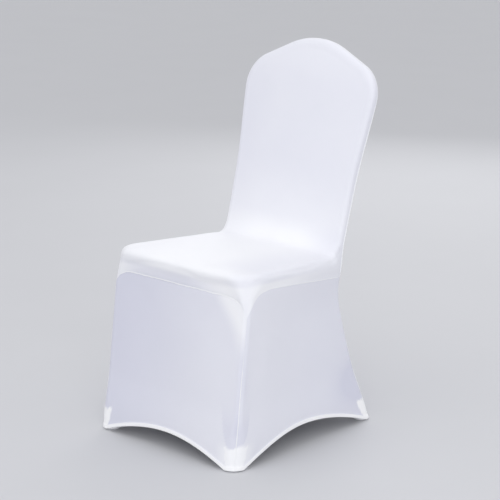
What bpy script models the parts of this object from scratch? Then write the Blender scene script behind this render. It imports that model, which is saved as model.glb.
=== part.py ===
"""A fitted stretch cover for a banquet chair, as it stands when the chair's frame holds it tight.

Metres, +Z up, the front of the chair at -Y. The origin is on the floor under the middle of the cover.
The cloth's middle surface is worked out first, from lines that the legs, the cushion and the backrest
give it. Each panel is then that surface made thick, and panels meet along shared seam lines.
"""
import math

import bpy
import numpy as np

# The cloth
CLOTH = 0.0015
HEM_EXTRA = 0.0011
HEM_DEPTH = 0.009
HEM_STEP = 0.0015
SEAM_INSET = 0.00022

# The four legs, as lines on the right side: (x, y) on the floor and under the seat. The rear legs bow
# forward and, above the waist, sweep back and out to the backrest. A front foot's wider round lies
# inside its leg's line, so that the walls stay where they are
FRONT_LEG_FLOOR = (0.2128, -0.2693)
FRONT_LEG_TOP = (0.2106, -0.2181)
REAR_LEG_FLOOR = (0.2111, 0.2081)
REAR_LEG_TOP = (0.1680, 0.1184)
LEG_TOP_Z = 0.415
REAR_LEG_BOW = 0.0128
REAR_WAIST_Z = 0.307
REAR_SWEEP = 1.35
LEG_RADIUS = 0.015
FRONT_FOOT_RADIUS = 0.0345
REAR_FOOT_RADIUS = 0.0208
FOOT_Z = 0.045
FOOT_FADE = 0.11

# The hems, which arch up between the feet
HEM_LOW = 0.003
HEM_RISE = {"front": 0.0405, "side": 0.051, "rear": 0.051}
HEM_SAG = 0.006

# The seams at the top of the skirts, which turn down into the seam over each front leg
FRONT_SEAM_Z = 0.4105
FRONT_SEAM_TURN = 0.016
SIDE_SEAM_FRONT_Z = 0.4330
SIDE_SEAM_REAR_Z = 0.3895
SIDE_SEAM_TURN = 0.023
LEG_SEAM_Z = 0.3685

# The seat: its upper plane, the cushion's outline and how far it is crowned
SEAT_FRONT_Y = -0.2445
SEAT_FRONT_Z = 0.4694
SEAT_SLOPE = -0.069
CUSHION_CORNER = 0.060
CUSHION_SIDE_IN = 0.002

# The backrest: a leaning slab with a crown of straight slopes and arcs
BACK_BASE_Y = 0.1281
BACK_BASE_Z = 0.450
BACK_LEAN = math.radians(15.2)
BACK_THICK = 0.021
BACK_HALF_WIDTH = 0.193
BACK_MIDDLE = (0.195, 0.20)
BACK_MIDDLE_RADIUS = 1.2
SHOULDER = (0.2193, 0.4432)
SHOULDER_RADIUS = 0.089
PEAK = 0.5455
PEAK_RADIUS = 0.206

# How far below the slab's base the rear seam still heads along it before it bends into the rear leg
SEAM_BEND = 0.035

# Where the seat turns up into the backrest, at its edge and in the middle
EDGE_TURN = 0.030
MIDDLE_TURN = 0.050

# The line down the middle on which the ribs of the long panel end
MIDDLE_START = 0.17
MIDDLE_CORNER = 0.03
MIDDLE_SHOULDER = 0.36
MIDDLE_END = 0.40
CORNER_BLEND = 0.07

# How far the long panel stands up in the middle, at the ends of its six stretches
BULGES = (0.012, 0.012, 0.008, 0.003, 0.004, 0.006, 0.006)

# A rib's profile at the seat's front, at its sides and on the backrest: how far its rounding reaches down
# the side and over the top, and where the groove and the ridge lie below it
RIB_SHAPES = (
    {"round_side": 0.022, "round_top": 0.045, "groove": 0.020, "groove_out": -0.003,
     "ridge": 0.036, "ridge_out": 0.0008},
    {"round_side": 0.0085, "round_top": 0.030, "groove": 0.0015, "groove_out": 0.0,
     "ridge": 0.0050, "ridge_out": 0.003},
    {"round_side": 0.008, "round_top": 0.014, "groove": 0.004, "groove_out": 0.0,
     "ridge": 0.008, "ridge_out": 0.0},
)

# The back panel spans the waist behind the seat and stands off there
WAIST_BULGE = 0.022
WAIST_Z = 0.42
WAIST_REACH = 0.15

# Mesh steps. A wall's columns also give the crown's steps, so that the two ends of the back panel match
ARC_STEPS = 4
WALL_STEPS = 14
SKIRT_ROWS = 7
HEM_ROWS = 3
BEND_STEPS = 4
SIDE_STEPS = 15
SIDE_CROWDING = 1.5
CROWN_CROWDING = 1.35
ROUND_STEPS = 3
TOP_STEPS = 6
CURVE_STEPS = 12
POCKET_SIDES = 24
SHARP_ANGLE = math.radians(40.0)
AT_MIDDLE = 1e-6
TANGENT_STEP = 0.002

# The foot pockets
POCKET_HEIGHT = 0.050
POCKET_WALL = 0.0015
POCKET_CLEAR = 0.0008
SOLE_ROUND = 0.005

WHITE = (0.86, 0.86, 0.90)
BRIGHT_WHITE = (0.93, 0.93, 0.95)

LEGS = ("front_right", "rear_right", "rear_left", "front_left")
LEAN_UP = np.array([0.0, math.sin(BACK_LEAN), math.cos(BACK_LEAN)])
LEAN_REAR = np.array([0.0, math.cos(BACK_LEAN), -math.sin(BACK_LEAN)])


def unit(v):
    """The vector v at length one."""
    return v / np.linalg.norm(v)


def smooth(t):
    """0 below t = 0, 1 above t = 1, and an easy curve between."""
    t = min(1.0, max(0.0, t))
    return t * t * (3.0 - 2.0 * t)


def curve_lengths(points):
    """How far along a polyline each of its points lies."""
    steps = np.linalg.norm(np.diff(points, axis=0), axis=1)
    return np.concatenate([[0.0], np.cumsum(steps)])


def along(points, lengths, distance):
    """The point at a distance along a polyline."""
    return np.array([np.interp(distance, lengths, points[:, axis]) for axis in range(points.shape[1])])


def rounded_corner(before, corner, after, radius, steps):
    """The arc that rounds a corner of an outline in a plane."""
    to_before, to_after = unit(before - corner), unit(after - corner)
    half = math.acos(np.clip(to_before @ to_after, -1.0, 1.0)) / 2.0
    centre = corner + unit(to_before + to_after) * radius / math.sin(half)
    start = corner + to_before * radius / math.tan(half) - centre
    end = corner + to_after * radius / math.tan(half) - centre
    first = math.atan2(start[1], start[0])
    sweep = (math.atan2(end[1], end[0]) - first + math.pi) % (2.0 * math.pi) - math.pi
    angles = first + sweep * np.linspace(0.0, 1.0, steps + 1)
    return centre + radius * np.stack([np.cos(angles), np.sin(angles)], axis=1)


# The legs and the walls of cloth between them

def leg_axis(leg, z):
    """The middle of a leg in plan at height z."""
    side = 1.0 if leg.endswith("right") else -1.0
    f = z / LEG_TOP_Z
    front = leg.startswith("front")
    floor, top = (FRONT_LEG_FLOOR, FRONT_LEG_TOP) if front else (REAR_LEG_FLOOR, REAR_LEG_TOP)
    bow = 0.0 if front else 4.0 * REAR_LEG_BOW * f * (1.0 - f)
    sweep = 0.0 if front else REAR_SWEEP * max(0.0, z - REAR_WAIST_Z) ** 2
    inset = leg_radius(leg, z) - leg_radius("rear", z)
    across = floor[0] + (top[0] - floor[0]) * f + sweep - inset
    return np.array([side * across, floor[1] + (top[1] - floor[1]) * f - bow + sweep + inset])


def leg_radius(leg, z):
    """The radius at which the cloth's middle turns round a leg, wider at the foot."""
    foot = FRONT_FOOT_RADIUS if leg.startswith("front") else REAR_FOOT_RADIUS
    return foot + (LEG_RADIUS - foot) * smooth((z - FOOT_Z) / FOOT_FADE)


def wall_ends(wall, z):
    """A wall's two legs at height z, their radii, its outward direction and its neighbours'."""
    legs = [LEGS[(wall + k) % 4] for k in (-2, -1, 0, 1)]
    posts = [leg_axis(leg, z) for leg in legs]
    out = []
    for a, b in zip(posts[:-1], posts[1:]):
        d = unit(b - a)
        out.append(np.array([d[1], -d[0]]))
    return posts[1], posts[2], leg_radius(legs[1], z), leg_radius(legs[2], z), out


def wall_point(wall, c, z):
    """A point of a wall and its outward direction.

    c runs from -1 to 0 round the first leg from its seam, from 0 to 1 along the straight, and from 1 to 2
    round the second leg to its seam. Wall 0 is the front, 1 the right, 2 the rear and 3 the left.
    """
    a, b, first_radius, last_radius, (before, out, after) = wall_ends(wall, z)
    if c < 0.0:
        turn = unit(out * (1.0 + c) + unit(out + before) * -c)
        plan = a + first_radius * turn
    elif c > 1.0:
        turn = unit(out * (2.0 - c) + unit(out + after) * (c - 1.0))
        plan = b + last_radius * turn
    else:
        turn = out
        radius = first_radius + (last_radius - first_radius) * c
        sag = HEM_SAG * (1.0 - smooth(z / LEG_TOP_Z)) * math.sin(math.pi * c) ** 2
        plan = a + (b - a) * c + (radius - sag) * out
    return np.array([plan[0], plan[1], z]), np.array([turn[0], turn[1], 0.0])


def wall_columns():
    """The values of c down which a wall's mesh runs, closer together near the legs."""
    first_arc = [k / ARC_STEPS - 1.0 for k in range(ARC_STEPS)]
    straight = [(1.0 - math.cos(math.pi * k / WALL_STEPS)) / 2.0 for k in range(WALL_STEPS + 1)]
    last_arc = [1.0 + (k + 1.0) / ARC_STEPS for k in range(ARC_STEPS)]
    return first_arc + straight + last_arc


def seam_distance(wall, c, z):
    """How far a column lies from the nearest leg's seam, along the cloth."""
    a, b = wall_ends(wall, z)[:2]
    arc = LEG_RADIUS * math.pi / 4.0
    inner = min(max(c, 0.0), 1.0)
    from_first = arc * (1.0 + min(c, 0.0)) + np.linalg.norm(b - a) * inner
    from_second = arc * (2.0 - max(c, 1.0)) + np.linalg.norm(b - a) * (1.0 - inner)
    return from_first, from_second


def hem_z(kind, c):
    """The height of a hem's lower edge."""
    inner = min(max(c, 0.0), 1.0)
    return HEM_LOW + HEM_RISE[kind] * 4.0 * inner * (1.0 - inner)


def front_seam_z(c):
    """The height of the seam above the front skirt."""
    nearest = min(seam_distance(0, c, FRONT_SEAM_Z))
    return FRONT_SEAM_Z - (FRONT_SEAM_Z - LEG_SEAM_Z) * math.exp(-nearest / FRONT_SEAM_TURN)


def side_seam_z(c):
    """The height of the seam above a side skirt, where c = -1 is at the front leg's seam."""
    inner = min(max(c, 0.0), 1.0)
    line = SIDE_SEAM_FRONT_Z + (SIDE_SEAM_REAR_Z - SIDE_SEAM_FRONT_Z) * inner
    from_front = seam_distance(1, c, FRONT_SEAM_Z)[0]
    return line - (SIDE_SEAM_FRONT_Z - LEG_SEAM_Z) * math.exp(-from_front / SIDE_SEAM_TURN)


def skirt_heights(low, high):
    """The heights of a skirt's rows in one column: the folded hem, its step, then even rows."""
    start = low + HEM_DEPTH + HEM_STEP
    return [low, low + HEM_DEPTH] + list(np.linspace(start, high, SKIRT_ROWS + 1))


# Making a surface thick

def vertex_normals(points, faces):
    """The outward direction at each point, from the faces round it."""
    normals = np.zeros_like(points)
    for face in faces:
        a, b, c, d = (points[k] for k in face)
        normal = np.cross(c - a, d - b)
        for k in face:
            normals[k] += normal
    return normals / np.linalg.norm(normals, axis=1)[:, None]


def thick_cloth(name, points, faces, seam_normals, extra, colour):
    """Turns a surface of four-sided faces into a closed sheet of cloth.

    seam_normals gives the direction of the sheet's cut edge where another panel meets it. extra is the
    added thickness on the outside, as on a folded hem.
    """
    normals = vertex_normals(points, faces)
    for k, normal in seam_normals.items():
        normals[k] = normal
    added = np.zeros(len(points))
    for k, value in extra.items():
        added[k] = value
    outer = points + normals * (CLOTH / 2.0 + added)[:, None]
    inner = points - normals * CLOTH / 2.0
    count = len(points)
    edges = [(a, b) for face in faces for a, b in zip(face, face[1:] + face[:1])]
    known = set(edges)
    rim = [(b, a, a + count, b + count) for a, b in edges if (b, a) not in known]
    solid = [tuple(face) for face in faces] + [tuple(k + count for k in reversed(face)) for face in faces]
    return make_object(name, np.concatenate([outer, inner]), solid + rim, colour)


def make_object(name, points, faces, colour):
    """Makes the object of one piece, with its own material."""
    mesh = bpy.data.meshes.new(name)
    mesh.from_pydata([tuple(p) for p in points], [], faces)
    mesh.validate()
    mesh.shade_smooth()
    mesh.set_sharp_from_angle(angle=SHARP_ANGLE)
    material = bpy.data.materials.new(name)
    material.use_nodes = True
    shader = material.node_tree.nodes["Principled BSDF"]
    shader.inputs["Base Color"].default_value = (*colour, 1.0)
    shader.inputs["Roughness"].default_value = 0.75
    shader.inputs["Metallic"].default_value = 0.0
    mesh.materials.append(material)
    piece = bpy.data.objects.new(name, mesh)
    bpy.context.scene.collection.objects.link(piece)
    return piece


def grid_faces(columns, rows):
    """The faces of a grid whose point (i, j) has the number i * rows + j."""
    faces = []
    for i in range(columns - 1):
        for j in range(rows - 1):
            k = i * rows + j
            faces.append([k, k + rows, k + rows + 1, k + 1])
    return faces


def inset_edge(points, edge, inner):
    """Moves an edge into its sheet, square to the seam, to leave the gap between two panels."""
    edge, moved = list(edge), []
    for i, (k, m) in enumerate(zip(edge, inner)):
        tangent = unit(points[edge[min(i + 1, len(edge) - 1)]] - points[edge[max(i - 1, 0)]])
        inward = points[m] - points[k]
        moved.append(points[k] + unit(inward - tangent * (inward @ tangent)) * SEAM_INSET)
    for k, point in zip(edge, moved):
        points[k] = point


# The skirts

def skirt(name, wall, kind, seam_height, colour):
    """One wall of cloth from its hem up to the seam under the seat."""
    columns = wall_columns()
    rows = SKIRT_ROWS + HEM_ROWS
    points, outward = [], []
    for c in columns:
        for z in skirt_heights(hem_z(kind, c), seam_height(c)):
            point, out = wall_point(wall, c, z)
            points.append(point)
            outward.append(out)
    points = np.array(points)
    last = (len(columns) - 1) * rows
    seam_normals = {}
    for j in range(rows):
        for k in (j, last + j):
            seam_normals[k] = outward[k]
    for i in range(len(columns)):
        k = i * rows + rows - 1
        seam_normals[k] = outward[k]
    extra = {i * rows + j: HEM_EXTRA for i in range(len(columns)) for j in (0, 1)}
    for edge, step in ((0, rows), (last, -rows)):
        inset_edge(points, range(edge, edge + rows), range(edge + step, edge + step + rows))
    top = [i * rows + rows - 1 for i in range(len(columns))]
    inset_edge(points, top, [k - 1 for k in top])
    return thick_cloth(name, points, grid_faces(len(columns), rows), seam_normals, extra, colour)


# The backrest's outline and the seam lines

def back_outline():
    """Half of the backrest's outline, as (half width, height along the slab), from seat to peak."""
    base = np.array([BACK_HALF_WIDTH, 0.0])
    middle = np.array(BACK_MIDDLE)
    shoulder = np.array(SHOULDER)
    peak = np.array([0.0, PEAK])
    opposite = np.array([-SHOULDER[0], SHOULDER[1]])
    turn = rounded_corner(base, middle, shoulder, BACK_MIDDLE_RADIUS, CURVE_STEPS)
    side = rounded_corner(middle, shoulder, peak, SHOULDER_RADIUS, 2 * CURVE_STEPS)
    top = rounded_corner(shoulder, peak, opposite, PEAK_RADIUS, 2 * CURVE_STEPS)
    top = top[: len(top) // 2 + 1]
    return np.concatenate([[base], turn, side, top]), 1 + len(turn) + len(side) // 2


def slab_point(width, height, depth):
    """A point of the backrest: half width, height along the slab, and depth behind its front face."""
    return np.array([width, BACK_BASE_Y, BACK_BASE_Z]) + LEAN_UP * height + LEAN_REAR * depth


def back_seam():
    """The right half of the seam between the front and rear of the backrest.

    Returns its points from the rear leg's seam to the peak, their directions, and the place of the shoulder
    among them.
    """
    start, leg_out = wall_point(1, 2.0, side_seam_z(2.0))
    outline, shoulder = back_outline()
    lengths = curve_lengths(outline)
    to_shoulder = lengths[shoulder] - EDGE_TURN
    to_peak = lengths[-1] - lengths[shoulder]
    side_steps = EDGE_TURN + to_shoulder * (1.0 - np.linspace(1.0, 0.0, SIDE_STEPS) ** SIDE_CROWDING)
    crown_count = len(wall_columns()) // 2
    crown_steps = lengths[shoulder] + to_peak * np.linspace(0.0, 1.0, crown_count + 1)[1:] ** CROWN_CROWDING
    points, normals = [start], [leg_out]
    first = along(outline, lengths, EDGE_TURN)
    bend = slab_point(outline[0][0], -SEAM_BEND, BACK_THICK)
    end = slab_point(first[0], first[1], BACK_THICK)
    for f in np.arange(1, BEND_STEPS) / BEND_STEPS:
        points.append(start * (1 - f) ** 2 + bend * 2 * f * (1 - f) + end * f ** 2)
        normals.append(leg_out * (1 - f) + unit(np.array([1.0, 0.0, 0.0]) + LEAN_REAR) * f)
    for step in np.concatenate([side_steps, crown_steps]):
        w, h = along(outline, lengths, step)
        ahead = along(outline, lengths, min(step + TANGENT_STEP, lengths[-1]))
        back = along(outline, lengths, step - TANGENT_STEP)
        tangent = unit(ahead - back)
        if step == crown_steps[-1]:
            tangent = np.array([-1.0, 0.0])
        side = tangent[1] * np.array([1.0, 0.0, 0.0]) - tangent[0] * LEAN_UP
        points.append(slab_point(w, h, BACK_THICK))
        normals.append(unit(side + LEAN_REAR) * math.sqrt(2.0))
    return np.array(points), normals, BEND_STEPS - 1 + len(side_steps)


# The seat and backrest in one long panel

def seat_z(y):
    """The height of the seat's plane."""
    return SEAT_FRONT_Z + SEAT_SLOPE * (y - SEAT_FRONT_Y)


def seat_meets_back():
    """Where the seat's plane meets the backrest's front, as (y, z)."""
    run = math.tan(BACK_LEAN)
    y = (BACK_BASE_Y + run * (SEAT_FRONT_Z - SEAT_SLOPE * SEAT_FRONT_Y - BACK_BASE_Z)) / (1.0 - run * SEAT_SLOPE)
    return np.array([y, seat_z(y)])


def on_seat(plan):
    """Points given as (x, y), raised to the seat's plane."""
    return np.array([[x, y, seat_z(y)] for x, y in plan])


def on_slab(plan):
    """Points given as (half width, height along the slab), on the backrest's front face."""
    return np.array([slab_point(w, h, 0.0) for w, h in plan])


def turn_up(x, before, up_slab):
    """The two halves of the curve from the seat into the backrest, at one half width."""
    y, z = seat_meets_back()
    corner = np.array([x, y, z])
    start = np.array([x, y - before, seat_z(y - before)])
    end = slab_point(x, up_slab, 0.0)
    curve = np.array([start * (1 - f) ** 2 + corner * 2 * f * (1 - f) + end * f ** 2
                      for f in np.linspace(0.0, 1.0, CURVE_STEPS + 1)])
    half = CURVE_STEPS // 2
    return curve[:half + 1], curve[half:]


def edge_sections():
    """The line of the cushion's and the backrest's edge, in six stretches from front middle to peak."""
    y, _ = seat_meets_back()
    widest = FRONT_LEG_TOP[0] + LEG_RADIUS - CUSHION_SIDE_IN
    slope = (BACK_HALF_WIDTH - widest) / (y - FRONT_LEG_TOP[1])
    corner = np.array([widest + slope * (SEAT_FRONT_Y - FRONT_LEG_TOP[1]), SEAT_FRONT_Y])
    rear = np.array([BACK_HALF_WIDTH, y])
    arc = rounded_corner(np.array([0.0, SEAT_FRONT_Y]), corner, rear, CUSHION_CORNER, CURVE_STEPS)
    half = CURVE_STEPS // 2
    lower, upper = turn_up(BACK_HALF_WIDTH, EDGE_TURN, EDGE_TURN)
    side_end = [widest + slope * (lower[0][1] - FRONT_LEG_TOP[1]), lower[0][1]]
    front = on_seat([[0.0, SEAT_FRONT_Y]] + list(arc[:half + 1]))
    side = on_seat(list(arc[half:]) + [side_end])
    lower[0][0] = side_end[0]
    outline, shoulder = back_outline()
    lengths = curve_lengths(outline)
    up_side = on_slab(along(outline, lengths, d)
                      for d in np.linspace(EDGE_TURN, lengths[shoulder], 4 * CURVE_STEPS))
    crown = on_slab(along(outline, lengths, d)
                    for d in np.linspace(lengths[shoulder], lengths[-1], 4 * CURVE_STEPS))
    return [front, side, lower, upper, up_side, crown]


def middle_sections():
    """The line down the middle on which the ribs of the two halves meet, in the same six stretches."""
    y, _ = seat_meets_back()
    start_y = SEAT_FRONT_Y + MIDDLE_START
    corner_y = start_y + MIDDLE_CORNER
    lower, upper = turn_up(0.0, MIDDLE_TURN, MIDDLE_TURN)
    return [
        on_seat([(0.0, start_y), (0.0, corner_y)]),
        on_seat([(0.0, corner_y), (0.0, y - MIDDLE_TURN)]),
        lower,
        upper,
        on_slab([(0.0, MIDDLE_TURN), (0.0, MIDDLE_SHOULDER)]),
        on_slab([(0.0, MIDDLE_SHOULDER), (0.0, MIDDLE_END)]),
    ]


def rib(outer, outward, edge, middle, shape, bulge):
    """The points of one rib from the outer seam over the edge to the middle line."""
    down = unit(outer - edge)
    inward = unit(middle - edge)
    round_from = edge + down * shape["round_side"]
    groove = round_from + down * shape["groove"] + outward * shape["groove_out"]
    ridge = round_from + down * shape["ridge"] + outward * shape["ridge_out"]
    round_to = edge + inward * shape["round_top"]
    points = [outer, ridge, groove]
    for f in np.linspace(0.0, 1.0, ROUND_STEPS + 2):
        points.append(round_from * (1 - f) ** 2 + edge * 2 * f * (1 - f) + round_to * f ** 2)
    for f in np.linspace(0.0, 1.0, TOP_STEPS + 1)[1:]:
        points.append(round_to + (middle - round_to) * f + bulge * f * (2.0 - f))
    return points


def mix(shapes, weights):
    """A blend of several rib shapes."""
    return {key: sum(s[key] * w for s, w in zip(shapes, weights)) for key in shapes[0]}


def seat_and_back_panel(seam_points, seam_normals, shoulder):
    """The long panel: seat, cushion's edge, rail band, backrest front, its side strips and crown."""
    outer, outward = [], []
    front = wall_columns()[len(wall_columns()) // 2:]
    for c in front:
        point, out = wall_point(0, c, front_seam_z(c))
        outer.append(point)
        outward.append(out)
    for c in wall_columns()[1:]:
        point, out = wall_point(1, c, side_seam_z(c))
        outer.append(point)
        outward.append(out)
    at_leg = len(outer) - 1
    outer = np.array(outer + list(seam_points[1:]))
    outward = outward + list(seam_normals[1:])
    edges, middles = edge_sections(), middle_sections()
    at_turn = int(np.argmin(np.abs(outer[:at_leg, 1] - edges[2][0][1])))
    knots = [0, len(front) - 1, at_turn, at_leg, at_leg + BEND_STEPS, at_leg + shoulder, len(outer) - 1]
    lengths = curve_lengths(outer)
    seat_up = np.array([0.0, 0.0, 1.0])
    points = []
    for i in range(len(outer)):
        part = max(k for k in range(6) if knots[k] <= i)
        low, high = lengths[knots[part]], lengths[knots[part + 1]]
        f = (lengths[i] - low) / (high - low)
        edge, middle = (along(s[part], curve_lengths(s[part]), f * curve_lengths(s[part])[-1])
                        for s in (edges, middles))
        to_side = smooth((lengths[i] - lengths[knots[1]] + CORNER_BLEND) / (2.0 * CORNER_BLEND))
        to_back = smooth((part + f - 2.0) / 2.0)
        shape = mix(RIB_SHAPES, ((1.0 - to_side), to_side * (1.0 - to_back), to_back))
        amount = np.interp(part + f, range(7), BULGES)
        tilt = (math.pi / 2.0 - BACK_LEAN) * to_back
        bulge = amount * np.array([0.0, -math.sin(tilt), math.cos(tilt)])
        points += rib(outer[i], np.asarray(outward[i]), edge, middle, shape, bulge)
    rows = len(points) // len(outer)
    half = np.array(points)
    boundary = range(0, len(half), rows)
    inset_edge(half, boundary, [k + 1 for k in boundary])
    half[np.abs(half[:, 0]) < AT_MIDDLE, 0] = 0.0
    faces = grid_faces(len(outer), rows)
    points, faces, twin = mirror_half(half, faces)
    normals = {}
    for i, k in enumerate(boundary):
        n = np.asarray(outward[i])
        normals[k] = n
        if twin[k] != k:
            normals[twin[k]] = n * np.array([-1.0, 1.0, 1.0])
    return thick_cloth("seat_and_back_panel", points, faces, normals, {}, WHITE)


def mirror_half(half, faces):
    """Adds the left half to the right one. Points at x = 0 are shared."""
    points = list(half)
    twin = {}
    for k, p in enumerate(half):
        if p[0] == 0.0:
            twin[k] = k
        else:
            twin[k] = len(points)
            points.append(p * np.array([-1.0, 1.0, 1.0]))
    return np.array(points), faces + [[twin[k] for k in reversed(face)] for face in faces], twin


# The back panel

def back_panel(seam_points, seam_normals, shoulder):
    """The rear of the cover, from its hem past the waist to the crown."""
    columns = wall_columns()
    top = side_seam_z(2.0)
    low = [skirt_heights(hem_z("rear", c), top) for c in columns]
    below = [[wall_point(2, c, z) for z in heights] for c, heights in zip(columns, low)]
    crown = seam_points[shoulder:]
    crown = np.concatenate([crown, crown[-2::-1] * np.array([-1.0, 1.0, 1.0])])
    crown_normals = seam_normals[shoulder:]
    crown_normals = crown_normals + [n * np.array([-1.0, 1.0, 1.0]) for n in crown_normals[-2::-1]]
    last = [column[-1][0] for column in below]
    points, edge_normals = [], {}
    low_rows = SKIRT_ROWS + HEM_ROWS
    rows = low_rows + shoulder
    for i in range(len(columns)):
        across = last[i][0] / last[0][0]
        for j in range(low_rows):
            point, out = below[i][j]
            share = point[0] / below[0][j][0][0]
            points.append(point + np.array([0.0, waist_bulge(point[2]) * (1.0 - share ** 2), 0.0]))
            if i in (0, len(columns) - 1):
                edge_normals[i * rows + j] = out
        for k in range(1, shoulder + 1):
            side = seam_points[k]
            f = max(0.0, (k - BEND_STEPS) / (shoulder - BEND_STEPS))
            start = min(1.0, k / BEND_STEPS)
            rise = (crown[i] - seam_points[shoulder]) * f
            x = (1 - f) * across * side[0] + f * crown[i][0] * side[0] / crown[0][0]
            round_leg = (last[i][1] - last[0][1]) * (1.0 - smooth(start))
            y = side[1] + rise[1] + round_leg + waist_bulge(side[2]) * (1.0 - across ** 2) * (1 - f)
            points.append(np.array([x, y, side[2] + rise[2]]))
            if i in (0, len(columns) - 1):
                flip = 1.0 if i == 0 else -1.0
                edge_normals[i * rows + low_rows - 1 + k] = seam_normals[k] * np.array([flip, 1.0, 1.0])
        edge_normals[i * rows + rows - 1] = crown_normals[i]
    points = np.array(points)
    last_column = (len(columns) - 1) * rows
    tops = [i * rows + rows - 1 for i in range(len(columns))]
    inset_edge(points, tops[1:-1], [k - 1 for k in tops[1:-1]])
    for edge, step in ((0, rows), (last_column, -rows)):
        inset_edge(points, range(edge, edge + rows), range(edge + step, edge + step + rows))
    extra = {i * rows + j: HEM_EXTRA for i in range(len(columns)) for j in (0, 1)}
    return thick_cloth("back_panel", points, grid_faces(len(columns), rows), edge_normals, extra, WHITE)


def waist_bulge(z):
    """How far the middle of the back panel stands off behind its side seams."""
    return WAIST_BULGE * math.exp(-((z - WAIST_Z) / WAIST_REACH) ** 2)


# The foot pockets

def foot_pocket(leg):
    """A round cup of doubled cloth under one foot, leaning with its leg."""
    turns = [math.radians(angle) for angle in (0.0, 45.0, 90.0)]
    sole = [(SOLE_ROUND * (1.0 - math.cos(turn)), -SOLE_ROUND * (1.0 - math.sin(turn))) for turn in turns]
    heights = [SOLE_ROUND + (POCKET_HEIGHT - SOLE_ROUND) * f for f in (1 / 3, 2 / 3, 1.0)]
    outer = sole + [(z, 0.0) for z in heights]
    inner = [(z, -POCKET_WALL) for z in reversed([SOLE_ROUND] + heights)]
    inner += [(POCKET_WALL, -SOLE_ROUND)]
    points = []
    for z, change in outer + inner:
        centre = leg_axis(leg, z)
        radius = leg_radius(leg, z) - CLOTH / 2.0 - POCKET_CLEAR + change
        for k in range(POCKET_SIDES):
            angle = 2.0 * math.pi * (k + 0.5) / POCKET_SIDES
            points.append([centre[0] + radius * math.cos(angle), centre[1] + radius * math.sin(angle), z])
    loops = len(outer) + len(inner)
    faces = []
    for i in range(loops - 1):
        for k in range(POCKET_SIDES):
            a, b = i * POCKET_SIDES + k, i * POCKET_SIDES + (k + 1) % POCKET_SIDES
            faces.append((a, b, b + POCKET_SIDES, a + POCKET_SIDES))
    faces.append(tuple(reversed(range(POCKET_SIDES))))
    faces.append(tuple(range((loops - 1) * POCKET_SIDES, loops * POCKET_SIDES)))
    return make_object("foot_pocket_" + leg, points, faces, BRIGHT_WHITE)


def main():
    """Clears the scene and makes the cover's nine pieces."""
    for old in list(bpy.data.objects):
        bpy.data.objects.remove(old, do_unlink=True)
    seam_points, seam_normals, shoulder = back_seam()
    seat_and_back_panel(seam_points, seam_normals, shoulder)
    back_panel(seam_points, seam_normals, shoulder)
    skirt("front_skirt", 0, "front", front_seam_z, WHITE)
    skirt("side_skirt_right", 1, "side", side_seam_z, WHITE)
    skirt("side_skirt_left", 3, "side", lambda c: side_seam_z(1.0 - c), WHITE)
    for leg in LEGS:
        foot_pocket(leg)


main()
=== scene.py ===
"""The looks of a fitted stretch cover for a banquet chair.

The cover's panels are drawn again as fine sheets of knit on the same driving sizes as its solids, with
their creases, seams, stitched hems and doubled foot pockets. Metres, +Z up, the chair's front at -Y.
"""
from __future__ import annotations

import logging
import math
from dataclasses import dataclass, field, replace
from enum import Enum
from typing import Iterable, Mapping, Sequence

import bpy
import numpy as np
from mathutils import Matrix, Vector

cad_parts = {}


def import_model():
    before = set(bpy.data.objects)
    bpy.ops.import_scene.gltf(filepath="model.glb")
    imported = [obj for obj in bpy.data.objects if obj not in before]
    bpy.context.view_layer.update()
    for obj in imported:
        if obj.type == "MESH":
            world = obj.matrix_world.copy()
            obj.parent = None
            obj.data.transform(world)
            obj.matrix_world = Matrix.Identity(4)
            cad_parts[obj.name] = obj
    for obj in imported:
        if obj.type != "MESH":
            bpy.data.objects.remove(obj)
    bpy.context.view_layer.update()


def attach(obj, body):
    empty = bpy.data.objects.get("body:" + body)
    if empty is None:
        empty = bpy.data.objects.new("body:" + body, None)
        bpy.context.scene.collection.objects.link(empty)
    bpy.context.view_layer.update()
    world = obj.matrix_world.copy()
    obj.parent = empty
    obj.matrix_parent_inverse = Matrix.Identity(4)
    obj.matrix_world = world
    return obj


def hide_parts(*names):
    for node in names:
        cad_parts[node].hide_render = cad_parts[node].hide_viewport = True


LOG = logging.getLogger("chair_cover")
MIRROR = np.array([-1.0, 1.0, 1.0])
RIGHT = np.array([1.0, 0.0, 0.0])
# The cloth's thickness, and the angle past which an edge stays sharp
CLOTH = 0.0011
SHARP_EDGE = math.radians(55.0)
# The whitest that one layer is, where a doubled hem is 1
ONE_LAYER = 0.835
Colour = tuple[float, float, float]
Point = tuple[float, float, float]


# Working with points

def unit(rows: np.ndarray) -> np.ndarray:
    """Each row of an array, or one vector, at length one."""
    return rows / np.maximum(np.linalg.norm(rows, axis=-1, keepdims=True), 1e-12)


def smooth(t: np.ndarray | float) -> np.ndarray | float:
    """0 below t = 0, 1 above t = 1, and an easy curve between."""
    t = np.clip(t, 0.0, 1.0)
    return t * t * (3.0 - 2.0 * t)


def lengths_of(points: np.ndarray) -> np.ndarray:
    """How far along a polyline each of its points lies."""
    return np.concatenate([[0.0], np.cumsum(np.linalg.norm(np.diff(points, axis=0), axis=1))])


def along_with(rows: np.ndarray, lengths: np.ndarray, distances: np.ndarray | float) -> np.ndarray:
    """Rows that go with a polyline's points, at distances along its lengths."""
    return np.stack([np.interp(distances, lengths, rows[:, axis]) for axis in range(rows.shape[1])], axis=-1)


def along(points: np.ndarray, distances: np.ndarray | float) -> np.ndarray:
    """Points at distances along a polyline.

    Args:
        points: The polyline, one row for each point.
        distances: How far along it to look.

    Returns:
        One row for each distance, or one point for one distance.
    """
    return along_with(points, lengths_of(points), distances)


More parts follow.
